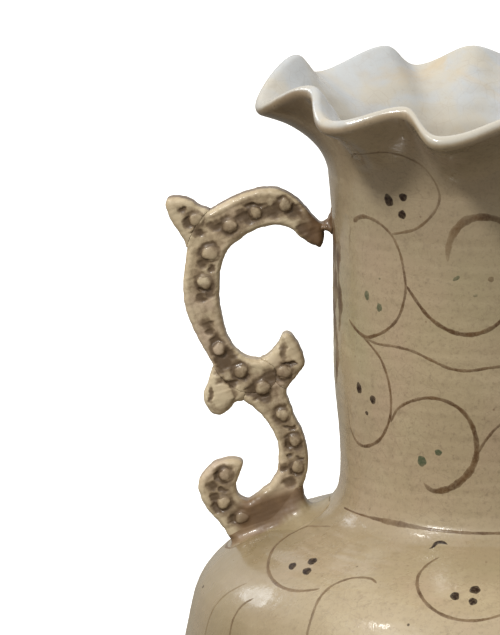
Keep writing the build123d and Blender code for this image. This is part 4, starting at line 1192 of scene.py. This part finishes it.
# pellets: low, slightly lopsided domes set in the channel on both faces
def pellet(cx, cz, r, side, seed):
    rings, seg = 12, 36
    ph = np.linspace(0, math.pi / 2, rings + 1)
    an = np.arange(seg) * TAU / seg
    wav = 1 + 0.09 * np.sin(2 * an + seed) + 0.06 * np.sin(3 * an + 2 * seed) + 0.03 * np.sin(5 * an + seed)
    face = float(sample2(THICK - CARVE, np.array([cx]), np.array([cz]))[0])
    base_y = face - 0.75
    height = 0.70 + 0.22 * r
    tx, tz = 0.16 * math.sin(seed * 2.1), 0.16 * math.cos(seed * 1.7)
    vs = []
    for p in ph[:-1]:
        c = math.cos(p) ** 0.9
        s_ = math.sin(p)
        x = cx + r * 1.08 * c * np.cos(an) * wav + tx * s_ * r
        z = cz + r * 1.08 * c * np.sin(an) * wav + tz * s_ * r
        bump = 1 + 0.07 * np.cos(an + seed) * c + 0.05 * np.sin(2 * an + 3 * seed) * c
        vs.append(np.stack([x, side * (base_y + height * s_ * bump), z], -1))
    v = np.concatenate(vs + [[[cx + tx * r, side * (base_y + height), cz + tz * r]], [[cx, side * (base_y - 0.5), cz]]])
    low = np.concatenate([np.zeros(seg), np.repeat(np.sin(ph[1:-1]), seg), [1.0], [0.0]])
    q, t = [], []
    for j in range(seg):
        j2 = (j + 1) % seg
        for i in range(rings - 1):
            q.append([i * seg + j, i * seg + j2, (i + 1) * seg + j2, (i + 1) * seg + j])
        t.append([(rings - 1) * seg + j, (rings - 1) * seg + j2, rings * seg])
        t.append([j2, j, rings * seg + 1])
    q, t = np.array(q), np.array(t)
    if side > 0:
        q, t = q[:, ::-1], t[:, ::-1]
    return v, q, t, low


pv, pq, pt, pl, base = [], [], [], [], 0
for k_, (bx, bz, br) in enumerate(BEADS):
    for side in (-1, 1):
        v, q, t, low = pellet(bx, bz, br, side, 0.9 * k_ + (0 if side < 0 else 3.1))
        pv.append(v)
        pq.append(q + base)
        pt.append(t + base)
        pl.append(low)
        base += len(v)
pl = np.concatenate(pl)
ob = make_mesh("handle_pellets_relief", np.concatenate(pv), np.concatenate(pq), np.concatenate(pt),
               {"stain": 0.36 + 0.42 * (1 - smooth01((pl - 0.15) / 0.75)), "raised": smooth01((pl - 0.6) / 0.4) * 0.1, "wash": 0.9 * sample2(WASH, np.concatenate(pv)[:, 0], np.concatenate(pv)[:, 2])}, sharp=70, material=HANDLE)
piece(ob, "glaze_handle", "handle_pellets")

# =============================================================================
# 7. Stage, camera, light
# =============================================================================
fm = Nodes("stage_floor")
fm.put(fm.bsdf.inputs["Base Color"], fm.mix(fm.noise(3, 3), (0.90, 0.90, 0.895, 1), (0.93, 0.93, 0.93, 1)))
fm.bsdf.inputs["Roughness"].default_value = 0.9
fm.bsdf.inputs["Specular IOR Level"].default_value = 0.1
fv = [(-14, -14, -0.0002), (14, -14, -0.0002), (14, 14, -0.0002), (-14, 14, -0.0002)]
fme = bpy.data.meshes.new("floor")
fme.from_pydata(fv, [], [(0, 1, 2, 3)])
floor = bpy.data.objects.new("floor", fme)
COLL.objects.link(floor)
fme.materials.append(fm.mat)

cam_data = bpy.data.cameras.new("camera")
cam = bpy.data.objects.new("camera", cam_data)
COLL.objects.link(cam)
cam_data.sensor_width = 36.0
cam_data.lens = 5000 / 635 * 36
cam_data.clip_start, cam_data.clip_end = 0.05, 60
cam.location = (0.0, -2.056, 0.7497)
aim = Vector((-0.0974, 0.0, 0.3116))
cam.rotation_euler = (aim - cam.location).to_track_quat("-Z", "Y").to_euler()
scene.camera = cam


def area(name, loc, target, size, power, colour=(1, 1, 1), size_y=None):
    data = bpy.data.lights.new(name, "AREA")
    data.energy = power
    data.color = colour
    data.shape = "RECTANGLE" if size_y else "SQUARE"
    data.size = size
    if size_y:
        data.size_y = size_y
    o = bpy.data.objects.new(name, data)
    COLL.objects.link(o)
    o.location = loc
    o.rotation_euler = (Vector(target) - Vector(loc)).to_track_quat("-Z", "Y").to_euler()
    return o


def sun(name, direction, strength, angle, colour=(1, 1, 1)):
    data = bpy.data.lights.new(name, "SUN")
    data.energy = strength
    data.angle = math.radians(angle)
    data.color = colour
    o = bpy.data.objects.new(name, data)
    COLL.objects.link(o)
    o.rotation_euler = Vector(direction).to_track_quat("-Z", "Y").to_euler()
    return o


def from_bearing(az, el):
    """Direction of travel of light that comes from azimuth az (0 is the camera's side, positive to its left) and height el."""
    a, e = math.radians(az), math.radians(el)
    return (math.sin(a) * math.cos(e), math.cos(a) * math.cos(e), -math.sin(e))


sun("key", from_bearing(40, 44), 2.75, 9, (1.0, 0.985, 0.95))
area("lamp_high_left", (-0.78, -0.35, 1.6), (-0.02, -0.06, 0.22), 0.10, 2.0, (1.0, 0.99, 0.95))
area("window_back_left", (-1.5, 1.0, 1.35), (-0.05, 0, 0.4), 0.5, 5, (0.88, 0.94, 1.0))
floor.visible_diffuse = False
floor.visible_glossy = False
world = bpy.data.worlds.new("world")
world.use_nodes = True
wt = world.node_tree
tc = wt.nodes.new("ShaderNodeTexCoord")
sep = wt.nodes.new("ShaderNodeSeparateXYZ")
wt.links.new(tc.outputs["Generated"], sep.inputs[0])
up = wt.nodes.new("ShaderNodeMath")
up.operation = "MULTIPLY_ADD"
up.inputs[1].default_value, up.inputs[2].default_value = 0.5, 0.5
wt.links.new(sep.outputs[2], up.inputs[0])
wr = wt.nodes.new("ShaderNodeValToRGB")
wr.color_ramp.elements[0].position, wr.color_ramp.elements[0].color = 0.30, (0.20, 0.18, 0.15, 1)
wr.color_ramp.elements[1].position, wr.color_ramp.elements[1].color = 0.90, (1.0, 0.99, 0.97, 1)
mid = wr.color_ramp.elements.new(0.52)
mid.color = (0.46, 0.44, 0.41, 1)
wt.links.new(up.outputs[0], wr.inputs[0])
wt.links.new(wr.outputs[0], wt.nodes["Background"].inputs[0])
wt.nodes["Background"].inputs[1].default_value = 1.30
scene.world = world
scene.view_settings.view_transform = "Standard"
scene.view_settings.look = "None"
scene.view_settings.exposure = 0.0
scene.view_settings.gamma = 1.0
